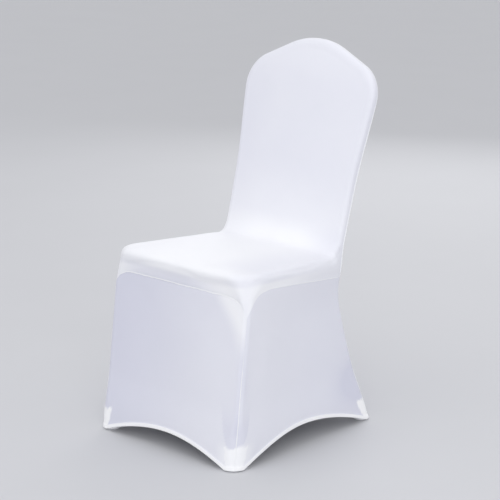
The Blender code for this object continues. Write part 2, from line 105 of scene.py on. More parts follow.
def eased(points: np.ndarray, distances: np.ndarray) -> np.ndarray:
    """Points at distances along a smooth curve that passes through a polyline's points.

    Args:
        points: The points that the curve passes through.
        distances: Distances along the polyline, in rising order.

    Returns:
        One row for each distance.
    """
    lengths = lengths_of(points)
    keep = np.concatenate([[True], np.diff(lengths) > 1e-7])
    points, lengths = points[keep], lengths[keep]
    slopes = np.gradient(points, lengths, axis=0)
    k = np.clip(np.searchsorted(lengths, distances, side="right") - 1, 0, len(lengths) - 2)
    step = (lengths[k + 1] - lengths[k])[:, None]
    t = ((distances - lengths[k])[:, None] / step).clip(0.0, 1.0)
    start = (1.0 + 2.0 * t) * (1.0 - t) ** 2 * points[k] + t * (1.0 - t) ** 2 * step * slopes[k]
    end = t ** 2 * (3.0 - 2.0 * t) * points[k + 1] - t ** 2 * (1.0 - t) * step * slopes[k + 1]
    return start + end


def bend(start: np.ndarray, corner: np.ndarray, end: np.ndarray, steps: int) -> np.ndarray:
    """A curve that leaves start towards corner and comes from there into end."""
    f = np.linspace(0.0, 1.0, steps + 1)[:, None]
    return start * (1 - f) ** 2 + corner * 2 * f * (1 - f) + end * f ** 2


def join(start: np.ndarray, leaving: np.ndarray, end: np.ndarray, coming: np.ndarray,
         steps: int) -> np.ndarray:
    """A smooth curve between two points.

    Args:
        start: Where it starts.
        leaving: The direction in which it leaves.
        end: Where it ends.
        coming: The direction in which it comes in.
        steps: How many steps it has.

    Returns:
        Its points, one row each.
    """
    reach = np.linalg.norm(end - start) / 3.0
    first, second = start + unit(leaving) * reach, end - unit(coming) * reach
    f = np.linspace(0.0, 1.0, steps + 1)[:, None]
    return start * (1 - f) ** 3 + first * 3 * f * (1 - f) ** 2 + second * 3 * f ** 2 * (1 - f) + end * f ** 3


def rounded_corner(before: np.ndarray, corner: np.ndarray, after: np.ndarray, radius: float,
                   steps: int) -> np.ndarray:
    """The arc that rounds a corner of an outline in a plane.

    Args:
        before: A point of the outline before the corner.
        corner: The sharp corner.
        after: A point of the outline after the corner.
        radius: The arc's radius.
        steps: How many steps the arc has.

    Returns:
        The arc's points, one row each.
    """
    to_before, to_after = unit(before - corner), unit(after - corner)
    half = math.acos(np.clip(to_before @ to_after, -1.0, 1.0)) / 2.0
    centre = corner + unit(to_before + to_after) * radius / math.sin(half)
    start = corner + to_before * radius / math.tan(half) - centre
    end = corner + to_after * radius / math.tan(half) - centre
    first = math.atan2(start[1], start[0])
    sweep = (math.atan2(end[1], end[0]) - first + math.pi) % (2.0 * math.pi) - math.pi
    angles = first + sweep * np.linspace(0.0, 1.0, steps + 1)
    return centre + radius * np.stack([np.cos(angles), np.sin(angles)], axis=1)


# The form that the chair gives the cloth

class Leg(Enum):
    """The four legs, named as seen by a person who faces the chair's front from +X."""

    FRONT_RIGHT = (1.0, True)
    REAR_RIGHT = (1.0, False)
    REAR_LEFT = (-1.0, False)
    FRONT_LEFT = (-1.0, True)

    @property
    def side(self) -> float:
        """1 at +X, -1 at -X."""
        return self.value[0]

    @property
    def is_front(self) -> bool:
        """Whether the leg is a front one."""
        return self.value[1]


class Wall(Enum):
    """The four walls of cloth between the legs, each with its place in the round of walls."""

    FRONT = 0
    RIGHT = 1
    REAR = 2
    LEFT = 3

    @property
    def hem_kind(self) -> str:
        """The name of the hem's arch on this wall."""
        return {0: "front", 1: "side", 2: "rear", 3: "side"}[self.value]

    @property
    def legs(self) -> tuple[Leg, Leg]:
        """The two legs that it hangs between."""
        legs = list(Leg)
        return legs[self.value - 1], legs[self.value]


@dataclass(frozen=True)
class ChairForm:
    """The lines that the legs, the cushion and the backrest give the cloth."""

    front_leg_floor: tuple[float, float] = (0.2128, -0.2693)
    front_leg_top: tuple[float, float] = (0.2106, -0.2181)
    rear_leg_floor: tuple[float, float] = (0.2111, 0.2081)
    rear_leg_top: tuple[float, float] = (0.1680, 0.1184)
    leg_top_z: float = 0.415
    rear_leg_bow: float = 0.0128
    rear_waist_z: float = 0.307
    rear_sweep: float = 1.35
    leg_round: float = 0.015
    spread_foot_round: float = 0.0345
    front_foot_round: float = 0.0240
    rear_foot_round: float = 0.0208
    foot_z: float = 0.045
    foot_fade: float = 0.11
    hem_low: float = 0.003
    hem_rise_front: float = 0.0405
    hem_rise_side: float = 0.051
    hem_rise_rear: float = 0.051
    hem_sag: float = 0.006
    front_seam: float = 0.4105
    front_seam_turn: float = 0.016
    side_seam_front: float = 0.4330
    side_seam_rear: float = 0.3895
    side_seam_turn: float = 0.023
    leg_seam: float = 0.3685
    seat_front_y: float = -0.2445
    seat_front_z: float = 0.4694
    seat_slope: float = -0.069
    cushion_corner: float = 0.060
    cushion_side_in: float = 0.002
    back_base_y: float = 0.1281
    back_base_z: float = 0.450
    back_lean: float = math.radians(15.2)
    back_thick: float = 0.0178
    back_thick_low: float = 0.0160
    back_thick_rise: float = 0.30
    back_half_width: float = 0.193
    back_middle: tuple[float, float] = (0.195, 0.20)
    back_middle_round: float = 1.2
    shoulder: tuple[float, float] = (0.2193, 0.4432)
    shoulder_round: float = 0.089
    peak: float = 0.5455
    peak_round: float = 0.206
    edge_turn: float = 0.030
    middle_turn: float = 0.050
    waist_bulge: float = 0.022
    waist_z: float = 0.42
    waist_reach: float = 0.15
    curve_steps: int = 24

    @property
    def lean_up(self) -> np.ndarray:
        """The direction up the backrest."""
        return np.array([0.0, math.sin(self.back_lean), math.cos(self.back_lean)])

    @property
    def lean_rear(self) -> np.ndarray:
        """The direction square to the backrest's front face, towards its rear."""
        return np.array([0.0, math.cos(self.back_lean), -math.sin(self.back_lean)])

    def leg_axis(self, leg: Leg, z: np.ndarray) -> np.ndarray:
        """The middle of a leg in plan at heights z, as rows of (x, y)."""
        f = z / self.leg_top_z
        floor, top = ((self.front_leg_floor, self.front_leg_top) if leg.is_front
                      else (self.rear_leg_floor, self.rear_leg_top))
        behind = 0.0 if leg.is_front else 1.0
        bow = behind * 4.0 * self.rear_leg_bow * f * (1.0 - f)
        sweep = behind * self.rear_sweep * np.maximum(0.0, z - self.rear_waist_z) ** 2
        inset = self.leg_radius(leg, z) - self.leg_radius(Leg.REAR_RIGHT, z)
        across = floor[0] + (top[0] - floor[0]) * f + sweep - inset
        back = floor[1] + (top[1] - floor[1]) * f - bow + sweep + inset
        return np.stack([leg.side * across, back], axis=-1)

    def leg_radius(self, leg: Leg, z: np.ndarray) -> np.ndarray:
        """The radius at which the cloth's middle turns round a leg, wider at the foot that spreads it."""
        foot = {Leg.FRONT_RIGHT: self.spread_foot_round, Leg.FRONT_LEFT: self.front_foot_round}.get(
            leg, self.rear_foot_round)
        return foot + (self.leg_round - foot) * smooth((z - self.foot_z) / self.foot_fade)

    def wall_points(self, wall: Wall, c: np.ndarray, z: np.ndarray) -> tuple[np.ndarray, np.ndarray]:
        """Points of a wall and their outward directions.

        Args:
            wall: Which wall.
            c: The place across it: -1 to 0 round the first leg from its seam, 0 to 1 along the straight,
                and 1 to 2 round the second leg to its seam.
            z: The heights.

        Returns:
            The points and the outward directions, one row each.
        """
        legs = list(Leg)
        posts = [self.leg_axis(legs[(wall.value + k) % 4], z) for k in (-2, -1, 0, 1)]
        outs = []
        for a, b in zip(posts[:-1], posts[1:]):
            d = unit(b - a)
            outs.append(np.stack([d[:, 1], -d[:, 0]], axis=1))
        before, out, after = outs
        c = c[:, None]
        first = unit(out * (1.0 + c) + unit(out + before) * -c)
        second = unit(out * (2.0 - c) + unit(out + after) * (c - 1.0))
        turn = np.where(c < 0.0, first, np.where(c > 1.0, second, out))
        inner = np.clip(c, 0.0, 1.0)
        radii = [self.leg_radius(leg, z)[:, None] for leg in wall.legs]
        sag = self.hem_sag * (1.0 - smooth(z / self.leg_top_z))[:, None] * np.sin(math.pi * inner) ** 2
        radius = radii[0] + (radii[1] - radii[0]) * inner
        plan = posts[1] + (posts[2] - posts[1]) * inner + radius * turn - sag * out
        flat = np.zeros(len(z))
        return np.column_stack([plan, z]), np.column_stack([turn, flat])

    def seam_distances(self, wall: Wall, c: np.ndarray, z: float) -> tuple[np.ndarray, np.ndarray]:
        """How far places across a wall lie from the seams over its two legs, along the cloth."""
        first, last = wall.legs
        height = np.array([z])
        span = np.linalg.norm(self.leg_axis(last, height) - self.leg_axis(first, height))
        arc = self.leg_round * math.pi / 4.0
        inner = np.clip(c, 0.0, 1.0)
        from_first = arc * (1.0 + np.minimum(c, 0.0)) + span * inner
        from_second = arc * (2.0 - np.maximum(c, 1.0)) + span * (1.0 - inner)
        return from_first, from_second

    def cloth_distances(self, wall: Wall, c: np.ndarray, z: np.ndarray) -> tuple[np.ndarray, np.ndarray]:
        """How far points of a wall lie from the seams over its two legs, along the cloth at their height."""
        first, last = wall.legs
        span = np.linalg.norm(self.leg_axis(last, z) - self.leg_axis(first, z), axis=-1)
        arcs = [self.leg_radius(leg, z) * math.pi / 4.0 for leg in (first, last)]
        inner, before, after = np.clip(c, 0.0, 1.0), np.minimum(c, 0.0), np.maximum(c, 1.0)
        return (arcs[0] * (1.0 + before) + span * inner + arcs[1] * (after - 1.0),
                arcs[1] * (2.0 - after) + span * (1.0 - inner) - arcs[0] * before)

    def hem_z(self, wall: Wall, c: np.ndarray) -> np.ndarray:
        """The height of a hem's lower edge, which arches up between the feet."""
        rise = {"front": self.hem_rise_front, "side": self.hem_rise_side, "rear": self.hem_rise_rear}
        inner = np.clip(c, 0.0, 1.0)
        return self.hem_low + rise[wall.hem_kind] * 4.0 * inner * (1.0 - inner)

    def front_seam_z(self, c: np.ndarray) -> np.ndarray:
        """The height of the seam above the front skirt."""
        nearest = np.minimum(*self.seam_distances(Wall.FRONT, c, self.front_seam))
        return self.front_seam - (self.front_seam - self.leg_seam) * np.exp(-nearest / self.front_seam_turn)

    def side_seam_z(self, c: np.ndarray) -> np.ndarray:
        """The height of the seam above the right skirt, where c = -1 is at the front leg's seam."""
        inner = np.clip(c, 0.0, 1.0)
        line = self.side_seam_front + (self.side_seam_rear - self.side_seam_front) * inner
        from_front = self.seam_distances(Wall.RIGHT, c, self.front_seam)[0]
        return line - (self.side_seam_front - self.leg_seam) * np.exp(-from_front / self.side_seam_turn)

    def skirt_top(self, wall: Wall, c: np.ndarray) -> np.ndarray:
        """The height of the seam at the top of a skirt."""
        if wall is Wall.FRONT:
            return self.front_seam_z(c)
        if wall is Wall.REAR:
            return np.full_like(c, float(self.side_seam_z(np.array([2.0]))[0]))
        return self.side_seam_z(c if wall is Wall.RIGHT else 1.0 - c)

    def slab(self, width: np.ndarray, height: np.ndarray, depth: np.ndarray | float) -> np.ndarray:
        """Points of the backrest: half width, height along the slab, and depth behind its front face."""
        base = np.array([0.0, self.back_base_y, self.back_base_z])
        return (base + np.asarray(width)[..., None] * RIGHT + np.asarray(height)[..., None] * self.lean_up
                + np.asarray(depth)[..., None] * self.lean_rear)

    def back_depth(self, height: np.ndarray | float) -> np.ndarray | float:
        """How deep the backrest is at heights along the slab."""
        gain = self.back_thick - self.back_thick_low
        return self.back_thick_low + gain * smooth(height / self.back_thick_rise)

    def back_outline(self) -> tuple[np.ndarray, float]:
        """Half of the backrest's outline from seat to peak, and how far along it the shoulder lies."""
        base = np.array([self.back_half_width, 0.0])
        middle, shoulder = np.array(self.back_middle), np.array(self.shoulder)
        peak, opposite = np.array([0.0, self.peak]), np.array([-self.shoulder[0], self.shoulder[1]])
        turn = rounded_corner(base, middle, shoulder, self.back_middle_round, self.curve_steps)
        side = rounded_corner(middle, shoulder, peak, self.shoulder_round, 2 * self.curve_steps)
        top = rounded_corner(shoulder, peak, opposite, self.peak_round, 2 * self.curve_steps)
        outline = np.concatenate([[base], turn, side, top[:self.curve_steps + 1]])
        return outline, float(lengths_of(outline)[1 + len(turn) + self.curve_steps])

    def seat_z(self, y: np.ndarray | float) -> np.ndarray | float:
        """The height of the seat's plane."""
        return self.seat_front_z + self.seat_slope * (y - self.seat_front_y)

    def seat_meets_back(self) -> tuple[float, float]:
        """Where the seat's plane meets the backrest's front, as (y, z)."""
        run = math.tan(self.back_lean)
        rise = self.seat_front_z - self.seat_slope * self.seat_front_y - self.back_base_z
        y = (self.back_base_y + run * rise) / (1.0 - run * self.seat_slope)
        return y, float(self.seat_z(y))

    def on_seat(self, plan: np.ndarray) -> np.ndarray:
        """Points given as rows of (x, y), raised to the seat's plane."""
        return np.column_stack([plan, self.seat_z(plan[:, 1])])

    def turn_up(self, x: float, reach: float) -> tuple[np.ndarray, np.ndarray]:
        """The two halves of the curve from the seat into the backrest, at one half width."""
        y, z = self.seat_meets_back()
        start = np.array([x, y - reach, self.seat_z(y - reach)])
        curve = bend(start, np.array([x, y, z]), self.slab(x, reach, 0.0), 2 * self.curve_steps)
        return curve[:self.curve_steps + 1], curve[self.curve_steps:]

    def back_seam(self) -> dict[str, tuple[np.ndarray, np.ndarray]]:
        """The right half of the seam between the front and the rear of the backrest.

        Returns:
            Its stretches "bend", "side" and "crown", each as points and outward directions.
        """
        top = float(self.side_seam_z(np.array([2.0]))[0])
        leg, outs = self.wall_points(Wall.RIGHT, np.full(2, 2.0), np.array([top - 0.002, top]))
        start, leg_out = leg[1], outs[1]
        outline, shoulder = self.back_outline()
        total = float(lengths_of(outline)[-1])
        first = along(outline, self.edge_turn)
        end = self.slab(first[0], first[1], self.back_depth(first[1]))
        f = np.linspace(0.0, 1.0, self.curve_steps + 1)[:, None]
        bend_out = unit(leg_out * (1 - f) + unit(RIGHT + self.lean_rear) * f)
        curve = join(start, leg[1] - leg[0], end, self.lean_up, self.curve_steps)
        stretches = {"bend": (curve, bend_out)}
        ranges = {"side": (self.edge_turn, shoulder), "crown": (shoulder, total)}
        for name, (low, high) in ranges.items():
            steps = np.linspace(low, high, 6 * self.curve_steps)
            plan = along(outline, steps)
            tangent = unit(np.gradient(plan, axis=0))
            if name == "crown":
                tangent[-1] = (-1.0, 0.0)
            out = unit(tangent[:, 1:] * RIGHT - tangent[:, :1] * self.lean_up + self.lean_rear)
            stretches[name] = (self.slab(plan[:, 0], plan[:, 1], self.back_depth(plan[:, 1])), out)
        return stretches


# Whiteness, creases and swells, placed on the cloth

@dataclass(frozen=True)
class Ramp:
    """A soft step: 0 up to its start, 1 once it is over."""

    start: float
    over: float

    def at(self, value: np.ndarray) -> np.ndarray:
        """The step's height at each value."""
        return smooth((value - self.start) / self.over)


@dataclass(frozen=True)
class Spot:
    """A soft round spot: 1 at its centre, and 0 well outside its reach."""

    centre: tuple[float, float]
    reach: tuple[float, float]

    def at(self, first: np.ndarray, second: np.ndarray) -> np.ndarray:
        """The spot's strength at places with two coordinates."""
        return np.exp(-((first - self.centre[0]) / self.reach[0]) ** 2
                      - ((second - self.centre[1]) / self.reach[1]) ** 2)


@dataclass(frozen=True)
class Crease:
    """A soft trough or ridge along a given line on the cloth.

    Attributes:
        line: Points that it passes through, in metres.
        height: How far it stands out, or in where it is negative.
        above: How far it reaches on its upper side.
        below: How far it reaches on its lower side.
        fade: The share of its length over which it dies away at each end.
    """

    line: tuple[Point, ...]
    height: float
    above: float
    below: float
    fade: float = 0.25

    def lift(self, points: np.ndarray) -> np.ndarray:
        """How far the crease moves each point outward.

        Args:
            points: Rows of points on the cloth.

        Returns:
            One distance for each point.
        """
        nodes = np.array(self.line)
        path = eased(nodes, np.linspace(0.0, lengths_of(nodes)[-1], 90))
        reach = 4.0 * max(self.above, self.below)
        near = np.all((points > path.min(0) - reach) & (points < path.max(0) + reach), axis=1)
        lift = np.zeros(len(points))
        close = points[near]
        if not len(close):
            return lift
        gaps = close[:, None, :] - path[None, :, :]
        distance = np.linalg.norm(gaps, axis=2)
        k = distance.argmin(axis=1)
        share = k / (len(path) - 1.0)
        upward = gaps[np.arange(len(k)), k, 2] > 0.0
        width = np.where(upward, self.above, self.below)
        weight = smooth(share / self.fade) * smooth((1.0 - share) / self.fade)
        lift[near] = self.height * weight * np.exp(-(distance.min(axis=1) / width) ** 2)
        return lift


@dataclass(frozen=True)
class Swell:
    """A broad soft rise or hollow of the cloth.

    Attributes:
        centre: Its middle.
        height: How far it stands out, or in where it is negative.
        reach: How far it reaches along X, Y and Z.
    """

    centre: Point
    height: float
    reach: Point

    def lift(self, points: np.ndarray) -> np.ndarray:
        """How far the swell moves each point outward."""
        scaled = (points - np.array(self.centre)) / np.array(self.reach)
        return self.height * np.exp(-(scaled ** 2).sum(axis=1))


@dataclass
class Sheet:
    """One panel's middle surface while it is being made.

    Attributes:
        name: The piece's name.
        points: Its points.
        faces: Its four-sided faces, whose front is the cloth's outside.
        uv: Each point's place on the flat cloth, in metres.
        tone: How white each point is, from 0 for the grey of cloth over the hollow to 1 for a doubled hem;
        it also carries painted light and shade.
        proud: The thickness added to the outside at each point.
        fixed: Directions that the cut edges keep, by point.
    """

    name: str
    points: np.ndarray
    faces: np.ndarray
    uv: np.ndarray
    tone: np.ndarray
    proud: np.ndarray
    fixed: dict[int, np.ndarray] = field(default_factory=dict)

    def normals(self) -> np.ndarray:
        """The outward direction at each point."""
        corners = [self.points[self.faces[:, k]] for k in range(4)]
        square = np.cross(corners[2] - corners[0], corners[3] - corners[1])
        total = np.zeros_like(self.points)
        for k in range(4):
            np.add.at(total, self.faces[:, k], square)
        total = unit(total)
        for k, direction in self.fixed.items():
            total[k] = direction
        return total

    def shape(self, features: Iterable[Crease | Swell]) -> None:
        """Presses creases and swells into the sheet, all measured on the sheet as it was."""
        normals = self.normals()
        start = self.points.copy()
        for feature in features:
            self.points = self.points + normals * feature.lift(start)[:, None]


def grid_faces(columns: int, rows: int) -> np.ndarray:
    """The faces of a grid whose point (i, j) has the number i * rows + j."""
    i, j = np.meshgrid(np.arange(columns - 1), np.arange(rows - 1), indexing="ij")
    k = (i * rows + j).ravel()
    return np.stack([k, k + rows, k + rows + 1, k + 1], axis=1)


# Shaders

class Op(Enum):
    """The sums that a shader value takes part in."""

    ADD = "ADD"
    SUBTRACT = "SUBTRACT"
    MULTIPLY = "MULTIPLY"
    SINE = "SINE"
    ABSOLUTE = "ABSOLUTE"
    MINIMUM = "MINIMUM"
    MAXIMUM = "MAXIMUM"


class Value:
    """A number that changes over the cloth, written in sums like any other number."""

    def __init__(self, shader: "Shader", socket: bpy.types.NodeSocket) -> None:
        """Wraps an output socket of one of the shader's nodes."""
        self.shader = shader
        self.socket = socket

    def _with(self, op: Op, *operands: "Value | float") -> "Value":
        """The result of a sum on values and numbers."""
        inputs = {k: operand for k, operand in enumerate(operands)}
        return self.shader.node("ShaderNodeMath", {"operation": op.value}, inputs)

    def __add__(self, other: "Value | float") -> "Value":
        """This value plus another."""
        return self._with(Op.ADD, self, other)

    def __radd__(self, other: float) -> "Value":
        """A number plus this value."""
        return self._with(Op.ADD, other, self)

    def __sub__(self, other: "Value | float") -> "Value":
        """This value less another."""
        return self._with(Op.SUBTRACT, self, other)

    def __rsub__(self, other: float) -> "Value":
        """A number less this value."""
        return self._with(Op.SUBTRACT, other, self)

    def __mul__(self, other: "Value | float") -> "Value":
        """This value times another."""
        return self._with(Op.MULTIPLY, self, other)

    def __rmul__(self, other: float) -> "Value":
        """A number times this value."""
        return self._with(Op.MULTIPLY, other, self)

    def sine(self) -> "Value":
        """The sine of this value, in radians."""
        return self._with(Op.SINE, self)

    def size(self) -> "Value":
        """This value without its sign."""
        return self._with(Op.ABSOLUTE, self)

    def at_least(self, low: float) -> "Value":
        """This value, raised to a lowest one."""
        return self._with(Op.MAXIMUM, self, low)

    def at_most(self, high: float) -> "Value":
        """This value, held to a highest one."""
        return self._with(Op.MINIMUM, self, high)


class Shader:
    """One material's nodes, made through a single method."""

    def __init__(self, name: str) -> None:
        """Starts a material with its Principled shader."""
        self.material = bpy.data.materials.new(name)
        self.material.use_nodes = True
        self.tree = self.material.node_tree
        self.principled = self.tree.nodes["Principled BSDF"]

    def node(self, kind: str, settings: Mapping[str, object] | None = None,
             inputs: Mapping[int | str, object] | None = None, output: int | str = 0) -> Value:
        """Makes one node.

        Args:
            kind: The node's type.
            settings: Its own settings, which are set first.
            inputs: Values or links for its sockets, by number or name.
            output: The output that the result stands for.

        Returns:
            The output, as a value.
        """
        made = self.tree.nodes.new(kind)
        for key, setting in (settings or {}).items():
            setattr(made, key, setting)
        for key, given in (inputs or {}).items():
            self.feed(made.inputs[key], given)
        return Value(self, made.outputs[output])

    def feed(self, socket: bpy.types.NodeSocket, given: object) -> None:
        """Gives a socket a value or a link."""
        if isinstance(given, Value):
            self.tree.links.new(given.socket, socket)
        else:
            socket.default_value = given

    def set(self, **inputs: object) -> None:
        """Gives the Principled shader's sockets values or links, with _ for the spaces in their names."""
        for key, given in inputs.items():
            self.feed(self.principled.inputs[key.replace("_", " ")], given)

    def cloth(self) -> tuple[Value, Value]:
        """The two coordinates of the flat cloth."""
        flat = self.node("ShaderNodeUVMap", {"uv_map": "cloth"})
        split = self.node("ShaderNodeSeparateXYZ", inputs={0: flat})
        return split, Value(self, split.socket.node.outputs[1])

    def noise(self, scale: float, detail: float) -> Value:
        """Soft unevenness, placed on the object."""
        place = self.node("ShaderNodeTexCoord", output="Object")
        return self.node("ShaderNodeTexNoise", inputs={"Vector": place, "Scale": scale, "Detail": detail})

    def bump(self, height: Value) -> Value:
        """The normal that a height in metres gives."""
        return self.node("ShaderNodeBump", inputs={"Strength": 1.0, "Distance": 1.0, "Height": height})

    def mix_colour(self, share: Value, low: object, high: object) -> Value:
        """A blend of two colours."""
        return self.node("ShaderNodeMix", {"data_type": "RGBA"}, {0: share, 6: low, 7: high}, output=2)


def rgba(colour: Colour) -> tuple[float, float, float, float]:
    """A colour with full cover."""
    return (*colour, 1.0)


@dataclass(frozen=True)
class KnitFinish:
    """Stretch knit: its colours at full and at no whiteness, and its loops.

    Attributes:
        name: The material's name.
        slot: The record's material slot. It is not used.
        backed_or_lit: Its colour at full whiteness: where the chair, or a second layer, lies close
            behind it, and where painted light is brightest.
        spanning_or_shaded: Its colour at no whiteness: where it spans the hollow in one layer, and where
            painted shade is deepest.
        roughness: The shader's roughness.
        sheen: The weight of its soft sheen.
        wale: The width of a column of loops.
        course: The height of a row of loops.
        relief: How far the loops stand out.
        pilling: How far its fine unevenness stands out.
        clouding: How much its whiteness changes slowly.
        graining: How much it changes finely, and from loop to loop.
    """

    name: str
    slot: str
    backed_or_lit: Colour
    spanning_or_shaded: Colour
    roughness: float = 0.58
    sheen: float = 0.22
    wale: float = 0.0012
    course: float = 0.0009
    relief: float = 0.00011
    pilling: float = 0.00022
    clouding: float = 0.10
    graining: float = 0.05

    def build(self) -> bpy.types.Material:
        """Makes the material."""
        shader = Shader(self.name)
        tone = shader.node("ShaderNodeAttribute", {"attribute_name": "tone"}, output="Fac")
        cloud, grain = shader.noise(9.0, 3.0), shader.noise(420.0, 2.0)
        loops = self._loops(*shader.cloth())
        # The tone carries painted light and shade as well as what lies behind the cloth.
        share = tone + (cloud - 0.5) * self.clouding + ((grain - 0.5) + (loops - 0.5)) * self.graining
        colour = shader.mix_colour(share.at_least(0.0).at_most(1.0), rgba(self.spanning_or_shaded), rgba(self.backed_or_lit))
        height = loops * self.relief + grain * self.pilling
        shader.set(Base_Color=colour, Roughness=self.roughness, Sheen_Weight=self.sheen,
                   Sheen_Roughness=0.45, Normal=shader.bump(height))
        return shader.material

    def _loops(self, across: Value, up: Value) -> Value:
        """The knit's columns of leaning loops, from 0 between them to 1 on them."""
        column = (across * (math.pi / self.wale)).sine().size()
        lean = (across * (2.0 * math.pi / self.wale)).sine() * 0.5
        row = (up * (2.0 * math.pi / self.course) + lean * 2.4).sine() * 0.5 + 0.5
        return column * 0.62 + column * row * 0.38


@dataclass(frozen=True)
class ThreadFinish:
    """Sewing thread and rolled seams: bright white, with the twist of the thread."""

    name: str
    colour: Colour
    twist: float = 0.0021
    slant: float = 900.0
    relief: float = 0.00016

    def build(self) -> bpy.types.Material:
        """Makes the material."""
        shader = Shader(self.name)
        length, around = shader.cloth()
        strand = (length * (2.0 * math.pi / self.twist) + around * self.slant).sine() * 0.5 + 0.5
        # The darker stripe along the twist is painted shade in the grooves between the plies.
        shade = tuple(channel * 0.94 for channel in self.colour)
        colour = shader.mix_colour(strand, rgba(shade), rgba(self.colour))
        shader.set(Base_Color=colour, Roughness=0.6, Sheen_Weight=0.2, Sheen_Roughness=0.5,
                   Normal=shader.bump(strand * self.relief))
        return shader.material


@dataclass(frozen=True)
class FloorFinish:
    """A plain pale studio floor."""

    name: str = "studio_floor"
    colour: Colour = (0.61, 0.615, 0.64)

    def build(self) -> bpy.types.Material:
        """Makes the material."""
        shader = Shader(self.name)
        darker = tuple(channel * 0.97 for channel in self.colour)
        colour = shader.mix_colour(shader.noise(3.0, 4.0), rgba(darker), rgba(self.colour))
        shader.set(Base_Color=colour, Roughness=0.7)
        return shader.material


# Turning points into pieces

def make_piece(name: str, points: np.ndarray, faces: Sequence[Sequence[int]], uv: np.ndarray,
               tone: np.ndarray, material: bpy.types.Material) -> bpy.types.Object:
    """Makes one piece from its points.

    Args:
        name: The piece's name.
        points: Its points.
        faces: Its faces.
        uv: Each point's place on the flat cloth.
        tone: Each point's whiteness.
        material: Its material.

    Returns:
        The object, linked to the scene.
    """
    mesh = bpy.data.meshes.new(name)
    mesh.from_pydata(points.tolist(), [], [list(map(int, face)) for face in faces])
    mesh.validate()
    mesh.shade_smooth()
    mesh.set_sharp_from_angle(angle=SHARP_EDGE)
    shade = mesh.attributes.new("tone", "FLOAT", "POINT")
    shade.data.foreach_set("value", np.ascontiguousarray(tone, dtype=np.float32))
    layer = mesh.uv_layers.new(name="cloth")
    corners = np.zeros(len(mesh.loops), dtype=np.int32)
    mesh.loops.foreach_get("vertex_index", corners)
    layer.data.foreach_set("uv", uv[corners].astype(np.float32).ravel())
    mesh.materials.append(material)
    piece = bpy.data.objects.new(name, mesh)
    bpy.context.scene.collection.objects.link(piece)
    return piece


def thicken(sheet: Sheet, material: bpy.types.Material) -> bpy.types.Object:
    """Turns a panel's middle surface into a closed sheet of cloth.

    Args:
        sheet: The panel.
        material: Its material.

    Returns:
        The object.
    """
    normals = sheet.normals()
    outer = sheet.points + normals * (CLOTH / 2.0 + sheet.proud)[:, None]
    inner = sheet.points - normals * CLOTH / 2.0
    count = len(sheet.points)
    starts = sheet.faces.ravel()
    ends = np.roll(sheet.faces, -1, axis=1).ravel()
    known = set(zip(starts.tolist(), ends.tolist()))
    rim = [(b, a, a + count, b + count) for a, b in known if (b, a) not in known]
    faces = sheet.faces.tolist() + (sheet.faces[:, ::-1] + count).tolist() + rim
    tone = np.concatenate([sheet.tone, sheet.tone])
    return make_piece(sheet.name, np.concatenate([outer, inner]), faces, np.concatenate([sheet.uv, sheet.uv]),
                      tone, material)


def skin(rings: int, sides: int, start: int = 0) -> list[tuple[int, ...]]:
    """The faces of a closed roll: the quads between its rings and a cap at each end.

    Args:
        rings: How many rings it has.
        sides: How many points each ring has.
        start: The number of its first point.

    Returns:
        The faces, as point numbers.
    """
    i, k = np.meshgrid(np.arange(rings - 1), np.arange(sides), indexing="ij")
    a, b = start + i * sides + k, start + i * sides + (k + 1) % sides
    quads = np.stack([a, a + sides, b + sides, b], axis=-1).reshape(-1, 4).tolist()
    last = start + (rings - 1) * sides
    return [*map(tuple, quads), tuple(range(start, start + sides)), tuple(range(last, last + sides))[::-1]]


def tube(name: str, path: np.ndarray, out: np.ndarray, wide: np.ndarray, high: np.ndarray, sides: int,
         material: bpy.types.Material) -> bpy.types.Object:
    """Makes a flattened roll along a path.

    Args:
        name: The piece's name.
        path: The path's points.
        out: The direction away from the cloth at each point.
        wide: Half the roll's width along the cloth at each point.
        high: Half its height off the cloth at each point.
        sides: How many sides its section has.
        material: Its material.

    Returns:
        The object.
    """
    tangent = unit(np.gradient(path, axis=0))
    out = unit(out - tangent * (out * tangent).sum(axis=1)[:, None])
    across = np.cross(tangent, out)
    angles = 2.0 * math.pi * np.arange(sides) / sides
    ring = (across[:, None, :] * np.cos(angles)[None, :, None] * wide[:, None, None]
            + out[:, None, :] * np.sin(angles)[None, :, None] * high[:, None, None])
    points = (path[:, None, :] + ring).reshape(-1, 3)
    count = len(path)
    uv = np.column_stack([np.repeat(lengths_of(path), sides), np.tile(np.arange(sides) * 0.0007, count)])
    return make_piece(name, points, skin(count, sides), uv, np.ones(len(points)), material)


# Sub-assemblies

